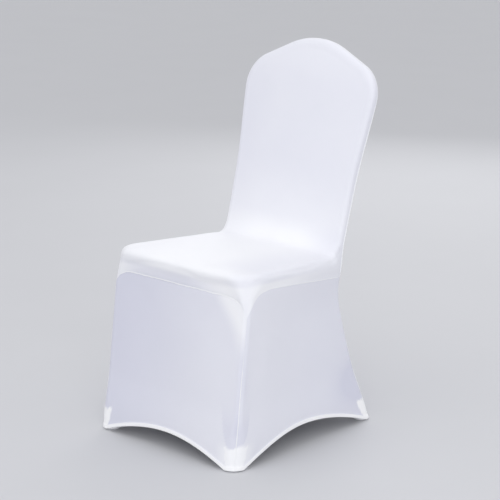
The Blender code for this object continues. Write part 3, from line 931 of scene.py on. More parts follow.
@dataclass(frozen=True)
class Hem:
    """The folded, elasticated lower edge of a panel.

    Attributes:
        depth: How tall the fold is.
        proud: How far its extra layers stand out.
        edge: The height over which its lower edge rounds.
        step: The height over which it falls back to the single cloth.
        groove_at: Where its stitching pulls it in.
        groove: How far the stitching pulls it in.
        gather: How far the elastic's small gathers stand out.
        gather_pitch: The gathers' spacing.
        stitch: A stitch's length.
        stitch_gap: The gap between two stitches.
        thread: The thread's radius.
    """

    depth: float = 0.009
    proud: float = 0.0011
    edge: float = 0.0014
    step: float = 0.0013
    groove_at: float = 0.0070
    groove: float = 0.00045
    gather: float = 0.00022
    gather_pitch: float = 0.0085
    stitch: float = 0.0026
    stitch_gap: float = 0.0011
    thread: float = 0.00024

    def heights(self) -> np.ndarray:
        """The heights above the edge at which a panel's rows run through the hem."""
        fold = [0.0, 0.0005, 0.0012, 0.0024, 0.0040, 0.0055, 0.0063, 0.0070, 0.0077, 0.0084]
        return np.array(fold + [self.depth, self.depth + self.step * 0.5, self.depth + self.step])

    def rise(self, height: np.ndarray, distance: np.ndarray) -> np.ndarray:
        """How far the hem stands out.

        Args:
            height: The height above the hem's edge.
            distance: The place along the hem, which its gathers follow.

        Returns:
            The added thickness at each point.
        """
        inside = smooth(height / self.edge) * 0.6 + 0.4
        top = 1.0 - smooth((height - self.depth) / self.step)
        dent = self.groove * np.exp(-((height - self.groove_at) / 0.0007) ** 2)
        wave = np.sin(2.0 * math.pi * distance / self.gather_pitch + 1.7 * np.sin(distance * 61.0))
        gathers = self.gather * wave * np.sin(math.pi * np.clip(height / self.depth, 0.0, 1.0))
        return np.maximum(0.0, (self.proud * inside - dent + gathers) * top)


@dataclass(frozen=True)
class FootShade:
    """The doubled, whiter cloth over a foot's pocket, and above it the duller cloth drawn on to the leg,
    whose darkness is partly painted shade.

    Tables of borders have rows of (distance from the leg's seam, height), the patch's edge has rows of
    (height, distance), all in metres.

    Attributes:
        end_lobe: The lower border of the dull cloth on the front or rear wall.
        side_lobe: The same on a side wall.
        patch_edge: How far the patch reaches from the seam at each height.
        patch_top: The patch's top, where no lobe lies lower.
        crisp: The width over which these borders blur.
        shade_top: The height at which the dull cloth begins to fade.
        shade_fade: The height over which it fades.
        shade: How much of the whiteness it takes, partly as painted shade.
        patch: How much of the missing whiteness the patch gives.
        halo: How much of it the cloth beside the patch gives, as painted light.
        halo_reach: How far beside the patch it does so.
        halo_above: The heights over which it stops.
        lobe_end: The distance over which the dull cloth ends past its table.

    The tables were read off the shapes in the photograph, and the strengths were fitted to its brightness.
    """

    end_lobe: tuple[tuple[float, float], ...] = (
        (0.0007, 0.0601), (0.0074, 0.0563), (0.0190, 0.0545), (0.0280, 0.0654), (0.0355, 0.0826),
        (0.0435, 0.1043), (0.0500, 0.1345), (0.0540, 0.1622),
    )
    side_lobe: tuple[tuple[float, float], ...] = (
        (0.0004, 0.0601), (0.0044, 0.0635), (0.0114, 0.0652), (0.0187, 0.0689), (0.0276, 0.0825),
        (0.0308, 0.0975), (0.0332, 0.1195), (0.0340, 0.1700),
    )
    patch_edge: tuple[tuple[float, float], ...] = (
        (0.0040, 0.0159), (0.0136, 0.0226), (0.0281, 0.0286), (0.0415, 0.0307), (0.0600, 0.0330),
    )
    patch_top: float = 0.060
    crisp: float = 0.0035
    shade_top: float = 0.090
    shade_fade: float = 0.080
    shade: float = 0.20
    patch: float = 1.0
    halo: float = 0.0
    halo_reach: float = 0.035
    halo_above: Ramp = Ramp(0.045, 0.030)
    lobe_end: float = 0.006

    def tone(self, lobe: Sequence[tuple[float, float]], distance: np.ndarray, z: np.ndarray,
             tone: np.ndarray) -> np.ndarray:
        """Adds the dull cloth and the doubled patch to a wall's whiteness.

        Args:
            lobe: The table of the dull cloth's lower border.
            distance: How far each point lies from the leg's seam.
            z: Each point's height.
            tone: The whiteness so far.

        Returns:
            The new whiteness.
        """
        table, edge = np.array(lobe), np.array(self.patch_edge)
        border = np.interp(distance, table[:, 0], table[:, 1])
        past = np.maximum(0.0, distance - table[-1, 0]) / self.lobe_end
        above = smooth((z - border) / self.crisp + 0.5)
        # The darker cloth above the foot is partly painted shade, and the halo beside the patch is painted
        # light.
        dull = above * np.exp(-past ** 2) * (1.0 - smooth((z - self.shade_top) / self.shade_fade))
        reach = np.interp(z, edge[:, 0], edge[:, 1])
        below = 1.0 - smooth((z - np.minimum(border, self.patch_top)) / self.crisp + 0.5)
        crisp = 1.0 - smooth((distance - reach) / self.crisp + 0.5)
        soft = 1.0 - smooth((distance - reach) / self.halo_reach)
        gain = np.maximum(self.patch * below * crisp,
                          self.halo * soft * (1.0 - self.halo_above.at(z)) * (1.0 - above))
        return tone * (1.0 - dull * self.shade) + (1.0 - tone) * gain


# The near front foot has deeper painted shade above it and painted light beside its patch.
NEAR_FOOT = FootShade(shade=0.55, patch=0.78, halo=0.42)
FAR_FOOT = FootShade()


@dataclass(frozen=True)
class WallTones:
    """How white the walls are, apart from their hems and feet.

    These numbers were fitted to the photographed cover. So besides how much lies behind the cloth, they
    hold painted light and shade that stand for the light and shade that fell on it, as named below.

    Attributes:
        front, rear, side: Each wall's whiteness at the seam, before its changes; they differ partly as
            painted shade.
        front_low, rear_low, side_high: What each gains towards the hem, or towards the seam, as painted
            light.
        front_gain, front_across: What the front gains towards +X, and where, as painted light.
        side_loss, side_along: What a side loses towards the rear, and where, as painted shade.
        side_keep: The share of that loss that its upper part is spared.
        leg_loss, leg_line, leg_above: A line of painted shade beside the front leg: how much, where, how
            high up.
        rear_loss, rear_spot: A spot of painted shade above the rear foot.
        tongue, tongue_white: The bright tongue beside the near front leg, partly cloth drawn over the leg
            and partly painted light: rows of (height, distance of its border from the leg's seam), and how
            white it is.
        tongue_blur, tongue_above: The width of its border, and the heights over which it comes in.
        edge_loss, edge_reach, edge_above: An edge of painted shade along the near front leg.
    """

    front: float = 0.01
    rear: float = 0.28
    side: float = 0.46
    front_low: float = 0.11
    rear_low: float = 0.10
    side_high: float = 0.04
    front_gain: float = 0.38
    front_across: Ramp = Ramp(-0.22, 0.40)
    side_loss: float = 0.24
    side_along: Ramp = Ramp(-0.22, 0.44)
    side_keep: float = 0.5
    leg_loss: float = 0.22
    leg_line: tuple[float, float] = (-0.252, 0.016)
    leg_above: Ramp = Ramp(0.12, 0.10)
    rear_loss: float = 0.80
    rear_spot: Spot = Spot((0.190, 0.112), (0.065, 0.042))
    tongue: tuple[tuple[float, float], ...] = (
        (0.2400, -0.0150), (0.2950, 0.0080), (0.3291, 0.0220), (0.3588, 0.0440), (0.3783, 0.0626),
        (0.3945, 0.0773), (0.4061, 0.0850),
    )
    tongue_white: float = 0.80
    tongue_blur: float = 0.060
    tongue_above: Ramp = Ramp(0.235, 0.10)
    edge_loss: float = 0.20
    edge_reach: float = 0.009
    edge_above: Ramp = Ramp(0.07, 0.03)

    def base(self, wall: Wall, points: np.ndarray, top: float) -> np.ndarray:
        """The whiteness of a wall's one layer.

        Args:
            wall: Which wall.
            points: Points on it.
            top: The height of the front seam.

        Returns:
            The whiteness at each point.
        """
        x, y, z = points.T
        height = np.clip(z / top, 0.0, 1.0)
        # The gradients, the line beside the front leg and the spot above the rear foot are painted light and
        # shade.
        if wall is Wall.FRONT:
            tone = self.front + self.front_gain * self.front_across.at(x) + self.front_low * (1.0 - height)
        elif wall is Wall.REAR:
            tone = self.rear + self.rear_low * (1.0 - height)
        else:
            loss = self.side_loss * (1.0 - self.side_keep * height) * self.side_along.at(y)
            line = np.exp(-((y - self.leg_line[0]) / self.leg_line[1]) ** 2) * self.leg_above.at(z)
            tone = (self.side - loss + self.side_high * height - self.leg_loss * line
                    - self.rear_loss * self.rear_spot.at(y, z))
        return ONE_LAYER * tone

    def near_leg(self, tone: np.ndarray, distance: np.ndarray, z: np.ndarray) -> np.ndarray:
        """Adds the bright tongue, partly painted light, and an edge of painted shade beside the near front
        leg.

        Args:
            tone: The whiteness so far.
            distance: How far each point lies from the leg's seam.
            z: Each point's height.

        Returns:
            The new whiteness.
        """
        heights, borders = np.array(self.tongue).T
        inside = 1.0 - smooth((distance - np.interp(z, heights, borders)) / self.tongue_blur + 0.5)
        tone = tone + (self.tongue_white - tone) * inside * self.tongue_above.at(z)
        return tone - self.edge_loss * np.exp(-(distance / self.edge_reach) ** 2) * self.edge_above.at(z)


@dataclass
class Skirt:
    """One wall of cloth from its arched hem up to the seam under the seat."""

    form: ChairForm
    wall: Wall
    name: str
    finish: KnitFinish
    hem: Hem = field(default_factory=Hem)
    arc_steps: int = 9
    straight_steps: int = 96
    rows: int = 84
    tuck: float = 0.0007
    calm: float = 0.060
    tones: WallTones = WallTones()
    features: tuple[Crease | Swell, ...] = ()

    def columns(self) -> np.ndarray:
        """The places across the wall down which its mesh runs."""
        first = -1.0 + (np.arange(self.arc_steps) / self.arc_steps) ** 1.3
        straight = np.linspace(0.0, 1.0, self.straight_steps + 1)
        return np.concatenate([first, straight, 1.0 - first[::-1]])

    def heights(self, low: np.ndarray, high: np.ndarray) -> np.ndarray:
        """The heights of every column's rows: the hem's, then even ones, closer under the seam."""
        hem = self.hem.heights()
        rest = np.linspace(0.0, 1.0, self.rows + 1)[1:]
        rest = rest + 0.10 * np.sin(math.pi * rest) * rest
        start = low + hem[-1]
        upper = start[:, None] + (high - start)[:, None] * rest[None, :]
        return np.concatenate([low[:, None] + hem[None, :], upper], axis=1)

    def sheet(self) -> Sheet:
        """The panel's middle surface with its creases, its whiteness and its hem."""
        c = self.columns()
        low, high = self.form.hem_z(self.wall, c), self.form.skirt_top(self.wall, c)
        z = self.heights(low, high)
        rows = z.shape[1]
        places = np.repeat(c, rows)
        points, out = self.form.wall_points(self.wall, places, z.ravel())
        first, second = self.form.cloth_distances(self.wall, places, z.ravel())
        above = (z - low[:, None]).ravel()
        proud = self.hem.rise(above, first)
        tone = self.whiteness(points, first, second, above)
        uv = np.column_stack([first, points[:, 2]])
        sheet = Sheet(self.name, points, grid_faces(len(c), rows), uv, tone, proud)
        edges = list(range(rows)) + list(range((len(c) - 1) * rows, len(c) * rows))
        for k in edges:
            sheet.fixed[k] = out[k]
        sheet.shape(self.features)
        below_seam = (high[:, None] - z).ravel()
        tucked = smooth((np.minimum(first, second) - 0.012) / self.calm)
        sheet.points -= out * (self.tuck * tucked * np.exp(-(below_seam / 0.004) ** 2))[:, None]
        return sheet

    def whiteness(self, points: np.ndarray, first: np.ndarray, second: np.ndarray,
                  above: np.ndarray) -> np.ndarray:
        """How white each point is, with its feet and its hem.

        Args:
            points: The points.
            first: Their distances from the first leg's seam.
            second: Their distances from the second leg's seam.
            above: Their heights above the hem's edge.

        Returns:
            The whiteness.
        """
        z = points[:, 2]
        # The walls' whiteness holds painted light and shade besides what lies behind the cloth.
        tone = self.tones.base(self.wall, points, self.form.front_seam)
        for leg, distance in zip(self.wall.legs, (first, second)):
            # The near front foot gets stronger painted shade and painted light than the other feet.
            shade = NEAR_FOOT if leg is Leg.FRONT_RIGHT else FAR_FOOT
            lobe = shade.end_lobe if self.wall in (Wall.FRONT, Wall.REAR) else shade.side_lobe
            tone = shade.tone(lobe, distance, z, tone)
        # The tongue beside the near front leg is partly painted light, and the edge beside it is painted
        # shade.
        if self.wall is Wall.FRONT:
            tone = self.tones.near_leg(tone, second, z)
        in_hem = 1.0 - smooth((above - self.hem.depth) / 0.001)
        return np.clip(tone + (1.0 - tone) * in_hem, 0.0, 1.0)

    def build(self) -> bpy.types.Object:
        """Makes the panel."""
        return thicken(self.sheet(), self.finish.build())


class Region(Enum):
    """The four kinds of rib across the long panel."""

    SEAT_FRONT = 0
    SEAT_SIDE = 1
    BACKREST = 2
    CROWN = 3


@dataclass(frozen=True)
class RibShape:
    """A rib's profile: how far its rounding reaches, and the groove and the ridge below it."""

    round_side: float
    round_top: float
    groove: float
    groove_out: float
    ridge: float
    ridge_out: float

    def blend(self, other: "RibShape", share: float) -> "RibShape":
        """A profile between this one and another."""
        values = {key: getattr(self, key) * (1.0 - share) + getattr(other, key) * share
                  for key in self.__dataclass_fields__}
        return RibShape(**values)


@dataclass(frozen=True)
class LongTones:
    """How white the long panel is. Like the walls' numbers, these were fitted to the photographed cover.

    Besides how much lies behind the cloth, they hold painted light and shade, as named below.

    Attributes:
        seat, seat_loss, seat_across, seat_along: The cushion, whiter than the backrest partly as painted
            light, and the painted shade that it loses towards +X behind its front.
        seat_far_loss, seat_far: The painted shade that it loses towards -X, by the distance to that side.
        edge_loss, edge_spot, edge_below: An edge of painted shade over the near front corner.
        front, front_gain, front_across: The band at the front, darker than at the sides partly as painted
            shade, and the painted light that it gains away from the middle.
        front_loss, front_below: The painted shade that it loses lower down.
        side, side_loss, side_along: The band at the sides, and the painted shade that it loses towards
            the rear.
        at_front: Where the front's numbers give way to the sides'.
        near_across, near_below: Where the front band turns white towards the near leg, as painted light.
        leg_spot, leg_below: The white at both front legs, partly cloth over the legs and partly painted
            light.
        leg_white, corner_spot: The whiteness right at the corners of the legs.
        band_from, band_front, band_dip, band_spot, band_over: How far below the seat's plane the band
            begins; the dip carries the cushion's white lower there, as painted light.
        back_from: The heights over which the seat gives way to the backrest.
        back, back_low, back_low_above: The backrest, and the painted light that its lower part gains.
        back_high, back_high_above, back_loss, back_far: The painted light that its top gains and the
            painted shade that its far side loses.
    """

    seat: float = 0.92
    seat_loss: float = 0.34
    seat_across: Ramp = Ramp(0.05, 0.14)
    seat_along: Ramp = Ramp(-0.25, 0.08)
    seat_far_loss: float = 0.12
    seat_far: Ramp = Ramp(0.06, 0.12)
    edge_loss: float = 0.34
    edge_spot: Spot = Spot((0.215, -0.243), (0.045, 0.035))
    edge_below: Ramp = Ramp(-0.008, 0.016)
    front: float = 0.54
    front_gain: float = 0.06
    front_across: Ramp = Ramp(0.02, 0.17)
    front_loss: float = 0.20
    front_below: Ramp = Ramp(0.028, 0.024)
    side: float = 0.98
    side_loss: float = 0.38
    side_along: Ramp = Ramp(-0.18, 0.30)
    at_front: Ramp = Ramp(-0.236, 0.040)
    near_across: Ramp = Ramp(0.02, 0.15)
    near_below: Ramp = Ramp(0.022, 0.010)
    leg_spot: Spot = Spot((0.215, -0.240), (0.050, 0.050))
    leg_below: Ramp = Ramp(0.030, 0.012)
    leg_white: float = 0.62
    corner_spot: Spot = Spot((0.222, -0.243), (0.020, 0.024))
    band_from: float = 0.019
    band_front: float = 0.006
    band_dip: float = 0.005
    band_spot: tuple[float, float] = (0.09, 0.06)
    band_over: float = 0.010
    back_from: Ramp = Ramp(0.475, 0.05)
    back: float = 0.47
    back_low: float = 0.18
    back_low_above: Ramp = Ramp(0.50, 0.16)
    back_high: float = 0.06
    back_high_above: Ramp = Ramp(0.83, 0.08)
    back_loss: float = 0.05
    back_far: Ramp = Ramp(0.08, 0.10)

    def at(self, points: np.ndarray, below: np.ndarray) -> np.ndarray:
        """The whiteness: most on the cushion, less on the band below it and on the backrest.

        Args:
            points: Points on the panel.
            below: How far each lies below the seat's plane.

        Returns:
            The whiteness at each point.
        """
        x, y, z = points.T
        reach = np.abs(x)
        at_front = 1.0 - self.at_front.at(y)
        # The cushion's losses and the darker edge at its near corner are painted shade.
        seat = self.seat - self.seat_loss * self.seat_across.at(x) * self.seat_along.at(y)
        seat = seat - self.edge_loss * self.edge_spot.at(x, y) * self.edge_below.at(below)
        seat = seat - self.seat_far_loss * self.seat_far.at(-x)
        front = self.front + self.front_gain * self.front_across.at(reach)
        front = front - self.front_loss * self.front_below.at(below)
        side = self.side - self.side_loss * self.side_along.at(y)
        band = side + (front - side) * at_front
        # The band's white towards the near leg is painted light; at the legs it is partly cloth over them.
        near = self.near_across.at(x) * at_front * self.near_below.at(below)
        band = band + (1.0 - band) * np.maximum(near, self.leg_spot.at(reach, y) * self.leg_below.at(below))
        band = band + (self.leg_white - band) * self.corner_spot.at(reach, y)
        dip = self.band_dip * np.exp(-((x - self.band_spot[0]) / self.band_spot[1]) ** 2)
        start = self.band_from + (self.band_front + dip) * at_front
        tone = seat + (band - seat) * smooth((below - start) / self.band_over)
        back = self.back + self.back_low * (1.0 - self.back_low_above.at(z))
        back = back + self.back_high * self.back_high_above.at(z) - self.back_loss * self.back_far.at(-x)
        return ONE_LAYER * np.clip(tone + (back - tone) * self.back_from.at(z), 0.0, 1.0)


@dataclass
class LongPanel:
    """The one long piece: seat, cushion's edge, band over the rail, backrest front, side strips, crown."""

    form: ChairForm
    finish: KnitFinish
    name: str = "long_panel"
    step: float = 0.0050
    rows: int = 58
    crowding: float = 1.35
    middle_start: float = 0.17
    middle_corner: float = 0.03
    middle_shoulder: float = 0.36
    middle_end: float = 0.40
    corner_blend: float = 0.07
    corner_calm: float = 0.050
    bulges: tuple[float, ...] = (0.012, 0.012, 0.008, 0.003, 0.004, 0.006, 0.006)
    tones: LongTones = LongTones()
    features: tuple[Crease | Swell, ...] = ()
    shapes: Mapping[Region, RibShape] = field(default_factory=lambda: {
        Region.SEAT_FRONT: RibShape(0.022, 0.045, 0.020, -0.0012, 0.036, 0.0003),
        Region.SEAT_SIDE: RibShape(0.0085, 0.030, 0.0015, 0.0, 0.0050, 0.0022),
        Region.BACKREST: RibShape(0.0095, 0.017, 0.002, 0.0, 0.004, 0.0),
        Region.CROWN: RibShape(0.0125, 0.026, 0.0013, 0.0, 0.0026, 0.0),
    })

    def outer(self) -> tuple[np.ndarray, np.ndarray, np.ndarray]:
        """The seam line round the right half, from the front's middle to the peak.

        Returns:
            Its points, their outward directions, and the numbers of the points at which its six
            stretches begin and end.
        """
        form = self.form
        front_c = np.concatenate([np.linspace(0.5, 1.0, 60), np.linspace(1.0, 2.0, 12)[1:]])
        side_c = np.concatenate([np.linspace(-1.0, 0.0, 12)[1:], np.linspace(0.0, 1.0, 120)[1:],
                                 np.linspace(1.0, 2.0, 12)[1:]])
        front, front_out = form.wall_points(Wall.FRONT, front_c, form.front_seam_z(front_c))
        side, side_out = form.wall_points(Wall.RIGHT, side_c, form.side_seam_z(side_c))
        seam = form.back_seam()
        points = [front, side] + [seam[key][0][1:] for key in ("bend", "side", "crown")]
        outward = [front_out, side_out] + [seam[key][1][1:] for key in ("bend", "side", "crown")]
        counts = np.cumsum([len(rows) for rows in points]) - 1
        turn_y = self.edges()[2][0][1]
        at_turn = counts[0] + 1 + int(np.argmin(np.abs(side[:, 1] - turn_y)))
        knots = np.array([0, counts[0], at_turn, counts[1], counts[2], counts[3], counts[4]])
        return np.concatenate(points), np.concatenate(outward), knots

    def edges(self) -> list[np.ndarray]:
        """The cushion's and the backrest's edge, in six stretches from front middle to peak."""
        form = self.form
        y, _ = form.seat_meets_back()
        widest = form.front_leg_top[0] + form.leg_round - form.cushion_side_in
        slope = (form.back_half_width - widest) / (y - form.front_leg_top[1])
        corner = np.array([widest + slope * (form.seat_front_y - form.front_leg_top[1]), form.seat_front_y])
        arc = rounded_corner(np.array([0.0, form.seat_front_y]), corner, np.array([form.back_half_width, y]),
                             form.cushion_corner, 2 * form.curve_steps)
        lower, upper = form.turn_up(form.back_half_width, form.edge_turn)
        side_end = np.array([widest + slope * (lower[0][1] - form.front_leg_top[1]), lower[0][1]])
        drift = np.linspace(side_end[0] - form.back_half_width, 0.0, len(lower))
        lower[:, 0] += drift
        front = form.on_seat(np.concatenate([[[0.0, form.seat_front_y]], arc[:form.curve_steps + 1]]))
        side = form.on_seat(np.concatenate([arc[form.curve_steps:], [side_end]]))
        outline, shoulder = form.back_outline()
        total = float(lengths_of(outline)[-1])
        plans = [along(outline, np.linspace(low, high, 6 * form.curve_steps))
                 for low, high in ((form.edge_turn, shoulder), (shoulder, total))]
        up = [form.slab(plan[:, 0], plan[:, 1], 0.0) for plan in plans]
        return [front, side, lower, upper] + up

    def middles(self) -> list[np.ndarray]:
        """The line down the middle on which the ribs of the two halves meet, in the same stretches."""
        form = self.form
        y, _ = form.seat_meets_back()
        start = form.seat_front_y + self.middle_start
        corner = start + self.middle_corner
        lower, upper = form.turn_up(0.0, form.middle_turn)
        seat = [form.on_seat(np.array([[0.0, a], [0.0, b]]))
                for a, b in ((start, corner), (corner, y - form.middle_turn))]
        heights = ((form.middle_turn, self.middle_shoulder), (self.middle_shoulder, self.middle_end))
        slab = [form.slab(np.zeros(2), np.array(pair), 0.0) for pair in heights]
        return [*seat, lower, upper, *slab]

    def rib(self, outer: np.ndarray, outward: np.ndarray, edge: np.ndarray, middle: np.ndarray,
            shape: RibShape, bulge: np.ndarray) -> np.ndarray:
        """One rib from the seam over the edge to the middle line.

        Args:
            outer: Its point on the seam.
            outward: The outward direction there.
            edge: The point of the edge that it rounds.
            middle: Its end on the middle line.
            shape: Its profile.
            bulge: How far it stands up at the middle line.

        Returns:
            Its points, evenly eased and closer together near the seam.
        """
        down, inward = unit(outer - edge), unit(middle - edge)
        round_from = edge + down * shape.round_side
        round_to = edge + inward * shape.round_top
        ridge = round_from + down * shape.ridge + outward * shape.ridge_out
        groove = round_from + down * shape.groove + outward * shape.groove_out
        f = np.linspace(0.0, 1.0, 13)[1:, None]
        top = round_to + (middle - round_to) * f + bulge * f * (2.0 - f)
        nodes = np.concatenate([[outer, ridge, groove], bend(round_from, edge, round_to, 8), top])
        total = lengths_of(nodes)[-1]
        near = np.array([0.0, 0.0006, 0.0013, 0.0022])
        share = np.linspace(0.0, 1.0, self.rows - len(near) + 1)[1:] ** self.crowding
        return eased(nodes, np.concatenate([near, near[-1] + (total - near[-1]) * share]))

    def half(self) -> tuple[np.ndarray, np.ndarray, np.ndarray, np.ndarray]:
        """The right half's points, the whiteness and flat places, and the seam's directions."""
        outer, outward, knots = self.outer()
        lengths = lengths_of(outer)
        edges, middles = self.edges(), self.middles()
        places = []
        for low, high in zip(lengths[knots[:-1]], lengths[knots[1:]]):
            count = max(3, int(round((high - low) / self.step)))
            places.append(np.linspace(low, high, count, endpoint=False))
        places = np.concatenate([*places, [lengths[-1]]])
        marks = lengths[knots]
        ribs, outs = [], []
        for place in places:
            part = min(5, int(np.searchsorted(marks, place, side="right")) - 1)
            f = (place - marks[part]) / (marks[part + 1] - marks[part])
            start, out = along(outer, place), unit(along_with(outward, lengths, place))
            edge, middle = (along(s[part], f * lengths_of(s[part])[-1]) for s in (edges, middles))
            to_side = smooth((place - marks[1] + self.corner_blend) / (2.0 * self.corner_blend))
            to_back = smooth((part + f - 2.0) / 2.0)
            shape = self.shapes[Region.SEAT_FRONT].blend(self.shapes[Region.SEAT_SIDE], to_side)
            calm = 1.0 - math.exp(-((place - marks[1]) / self.corner_calm) ** 2)
            shape = replace(shape, groove_out=shape.groove_out * calm, ridge_out=shape.ridge_out * calm)
            shape = shape.blend(self.shapes[Region.BACKREST], to_back)
            shape = shape.blend(self.shapes[Region.CROWN], smooth((part + f - 4.65) / 0.5))
            amount = np.interp(part + f, range(7), self.bulges)
            tilt = (math.pi / 2.0 - self.form.back_lean) * to_back
            bulge = amount * np.array([0.0, -math.sin(tilt), math.cos(tilt)])
            rib = self.rib(start, out, edge, middle, shape, bulge)
            ribs.append(rib)
            outs.append(out)
        points = np.concatenate(ribs)
        return points, self.flat_places(points), np.array(outs), places

    def flat_places(self, points: np.ndarray) -> np.ndarray:
        """Where points of the right half lie on the flat cloth, across and along it."""
        form = self.form
        behind = (points - form.slab(0.0, 0.0, 0.0)) @ form.lean_rear
        on_back = smooth((points[:, 2] - 0.47) / 0.06)
        beside = np.maximum(0.0, form.seat_z(points[:, 1]) - points[:, 2]) * (1.0 - on_back)
        return np.column_stack([points[:, 0] + beside + np.maximum(0.0, behind) * on_back,
                                points[:, 1] + points[:, 2]])

    def sheet(self) -> Sheet:
        """The whole panel's middle surface."""
        half, uv, outs, places = self.half()
        rows = len(half) // len(places)
        half[np.abs(half[:, 0]) < 1e-6, 0] = 0.0
        faces = grid_faces(len(places), rows)
        at_middle = half[:, 0] == 0.0
        twin = np.where(at_middle, np.arange(len(half)), 0)
        twin[~at_middle] = len(half) + np.arange(int((~at_middle).sum()))
        points = np.concatenate([half, half[~at_middle] * MIRROR])
        uvs = np.concatenate([uv, uv[~at_middle] * np.array([-1.0, 1.0])])
        all_faces = np.concatenate([faces, twin[faces][:, ::-1]])
        # The whiteness holds painted light and shade as well as what lies behind the cloth.
        tone = self.tones.at(points, self.form.seat_z(points[:, 1]) - points[:, 2])
        sheet = Sheet(self.name, points, all_faces, uvs, tone, np.zeros(len(points)))
        for i, out in enumerate(outs):
            k = i * rows
            sheet.fixed[k] = out
            if twin[k] != k:
                sheet.fixed[int(twin[k])] = out * MIRROR
        sheet.shape(self.features)
        return sheet

    def build(self) -> bpy.types.Object:
        """Makes the panel."""
        return thicken(self.sheet(), self.finish.build())


@dataclass
class BackPanel:
    """The rear of the cover, from its hem past the waist to the crown."""

    form: ChairForm
    finish: KnitFinish
    name: str = "rear_panel"
    hem: Hem = field(default_factory=Hem)
    upper_rows: int = 118
    tone: float = 0.42
    tone_from: Ramp = Ramp(0.34, 0.16)
    wale_lean: float = 0.2

    def waist(self, z: np.ndarray) -> np.ndarray:
        """How far the middle of the panel bulges at each height."""
        return self.form.waist_bulge * np.exp(-((z - self.form.waist_z) / self.form.waist_reach) ** 2)

    def lower(self) -> tuple[Skirt, np.ndarray, np.ndarray]:
        """The part below the seat's height, as a skirt, with its columns and its points."""
        skirt = Skirt(self.form, Wall.REAR, self.name, self.finish, self.hem)
        c = skirt.columns()
        z = skirt.heights(self.form.hem_z(Wall.REAR, c), self.form.skirt_top(Wall.REAR, c))
        points, _ = self.form.wall_points(Wall.REAR, np.repeat(c, z.shape[1]), z.ravel())
        return skirt, c, points.reshape(len(c), z.shape[1], 3)

    def side_line(self) -> tuple[np.ndarray, np.ndarray, np.ndarray]:
        """The right-hand seam above the lower part: its points, directions and shares of the backrest."""
        seam = self.form.back_seam()
        points = np.concatenate([seam["bend"][0], seam["side"][0][1:]])
        outs = np.concatenate([seam["bend"][1], seam["side"][1][1:]])
        lengths = lengths_of(points)
        bend_end = lengths[len(seam["bend"][0]) - 1]
        places = np.linspace(0.0, lengths[-1], self.upper_rows + 1)[1:]
        rows = along(points, places)
        directions = unit(along_with(outs, lengths, places))
        share = np.clip((places - bend_end) / (lengths[-1] - bend_end), 0.0, 1.0)
        near_leg = np.clip(1.0 - places / bend_end, 0.0, 1.0)
        return rows, directions, np.column_stack([share, near_leg])

    def sheet(self) -> Sheet:
        """The panel's middle surface."""
        form = self.form
        skirt, c, low = self.lower()
        side, side_out, shares = self.side_line()
        crown = form.back_seam()["crown"][0]
        across = low[:, -1, 0] / low[0, -1, 0]
        swell = self.waist(low[..., 2])
        low[..., 1] += swell * (1.0 - (low[..., 0] / low[:1, :, 0]) ** 2)
        top_x = across * crown[0, 0]
        order = np.argsort(crown[:, 0])
        crown_at = [np.interp(np.abs(top_x), crown[order, 0], crown[order, axis]) for axis in (1, 2)]
        rise = [at - crown[0, axis] for at, axis in zip(crown_at, (1, 2))]
        f, near_leg = shares[None, :, 0], shares[None, :, 1]
        x = across[:, None] * side[None, :, 0]
        lift = self.waist(side[None, :, 2])
        round_leg = (low[:, -1, 1] - low[:1, -1, 1] - swell[:, -1] * (1.0 - across ** 2))[:, None]
        y = (side[None, :, 1] + rise[0][:, None] * f + round_leg * smooth(near_leg)
             + lift * (1.0 - across[:, None] ** 2) * (1.0 - f))
        z = side[None, :, 2] + rise[1][:, None] * f
        points = np.concatenate([low, np.stack([x, y, z], axis=2)], axis=1)
        columns, rows = points.shape[:2]
        flat = points.reshape(-1, 3)
        places = np.repeat(c, low.shape[1])
        first, second = form.cloth_distances(Wall.REAR, places, low[..., 2].ravel())
        above = low[..., 2] - low[:, :1, 2]
        proud = np.zeros((columns, rows))
        # The rear's lower whiteness holds the walls' painted light and shade.
        shade = skirt.whiteness(low.reshape(-1, 3), first, second, above.ravel()).reshape(columns, -1)
        tone = np.concatenate([shade, np.repeat(shade[:, -1:], rows - low.shape[1], axis=1)], axis=1)
        climb = self.tone_from.at(points[..., 2])
        tone = tone * (1.0 - climb) + self.tone * climb
        proud[:, :low.shape[1]] = self.hem.rise(above.ravel(), first).reshape(columns, -1)
        uv = np.column_stack([flat[:, 0], flat[:, 2] + self.wale_lean * flat[:, 1]])
        sheet = Sheet(self.name, flat, grid_faces(columns, rows), uv, tone.ravel(), proud.ravel())
        _, low_out = form.wall_points(Wall.REAR, np.array([-1.0] * low.shape[1]), low[0, :, 2])
        edge_out = np.concatenate([low_out, side_out])
        for j in range(rows):
            sheet.fixed[j] = edge_out[j]
            sheet.fixed[(columns - 1) * rows + j] = edge_out[j] * MIRROR
        return sheet

    def build(self) -> bpy.types.Object:
        """Makes the panel."""
        return thicken(self.sheet(), self.finish.build())


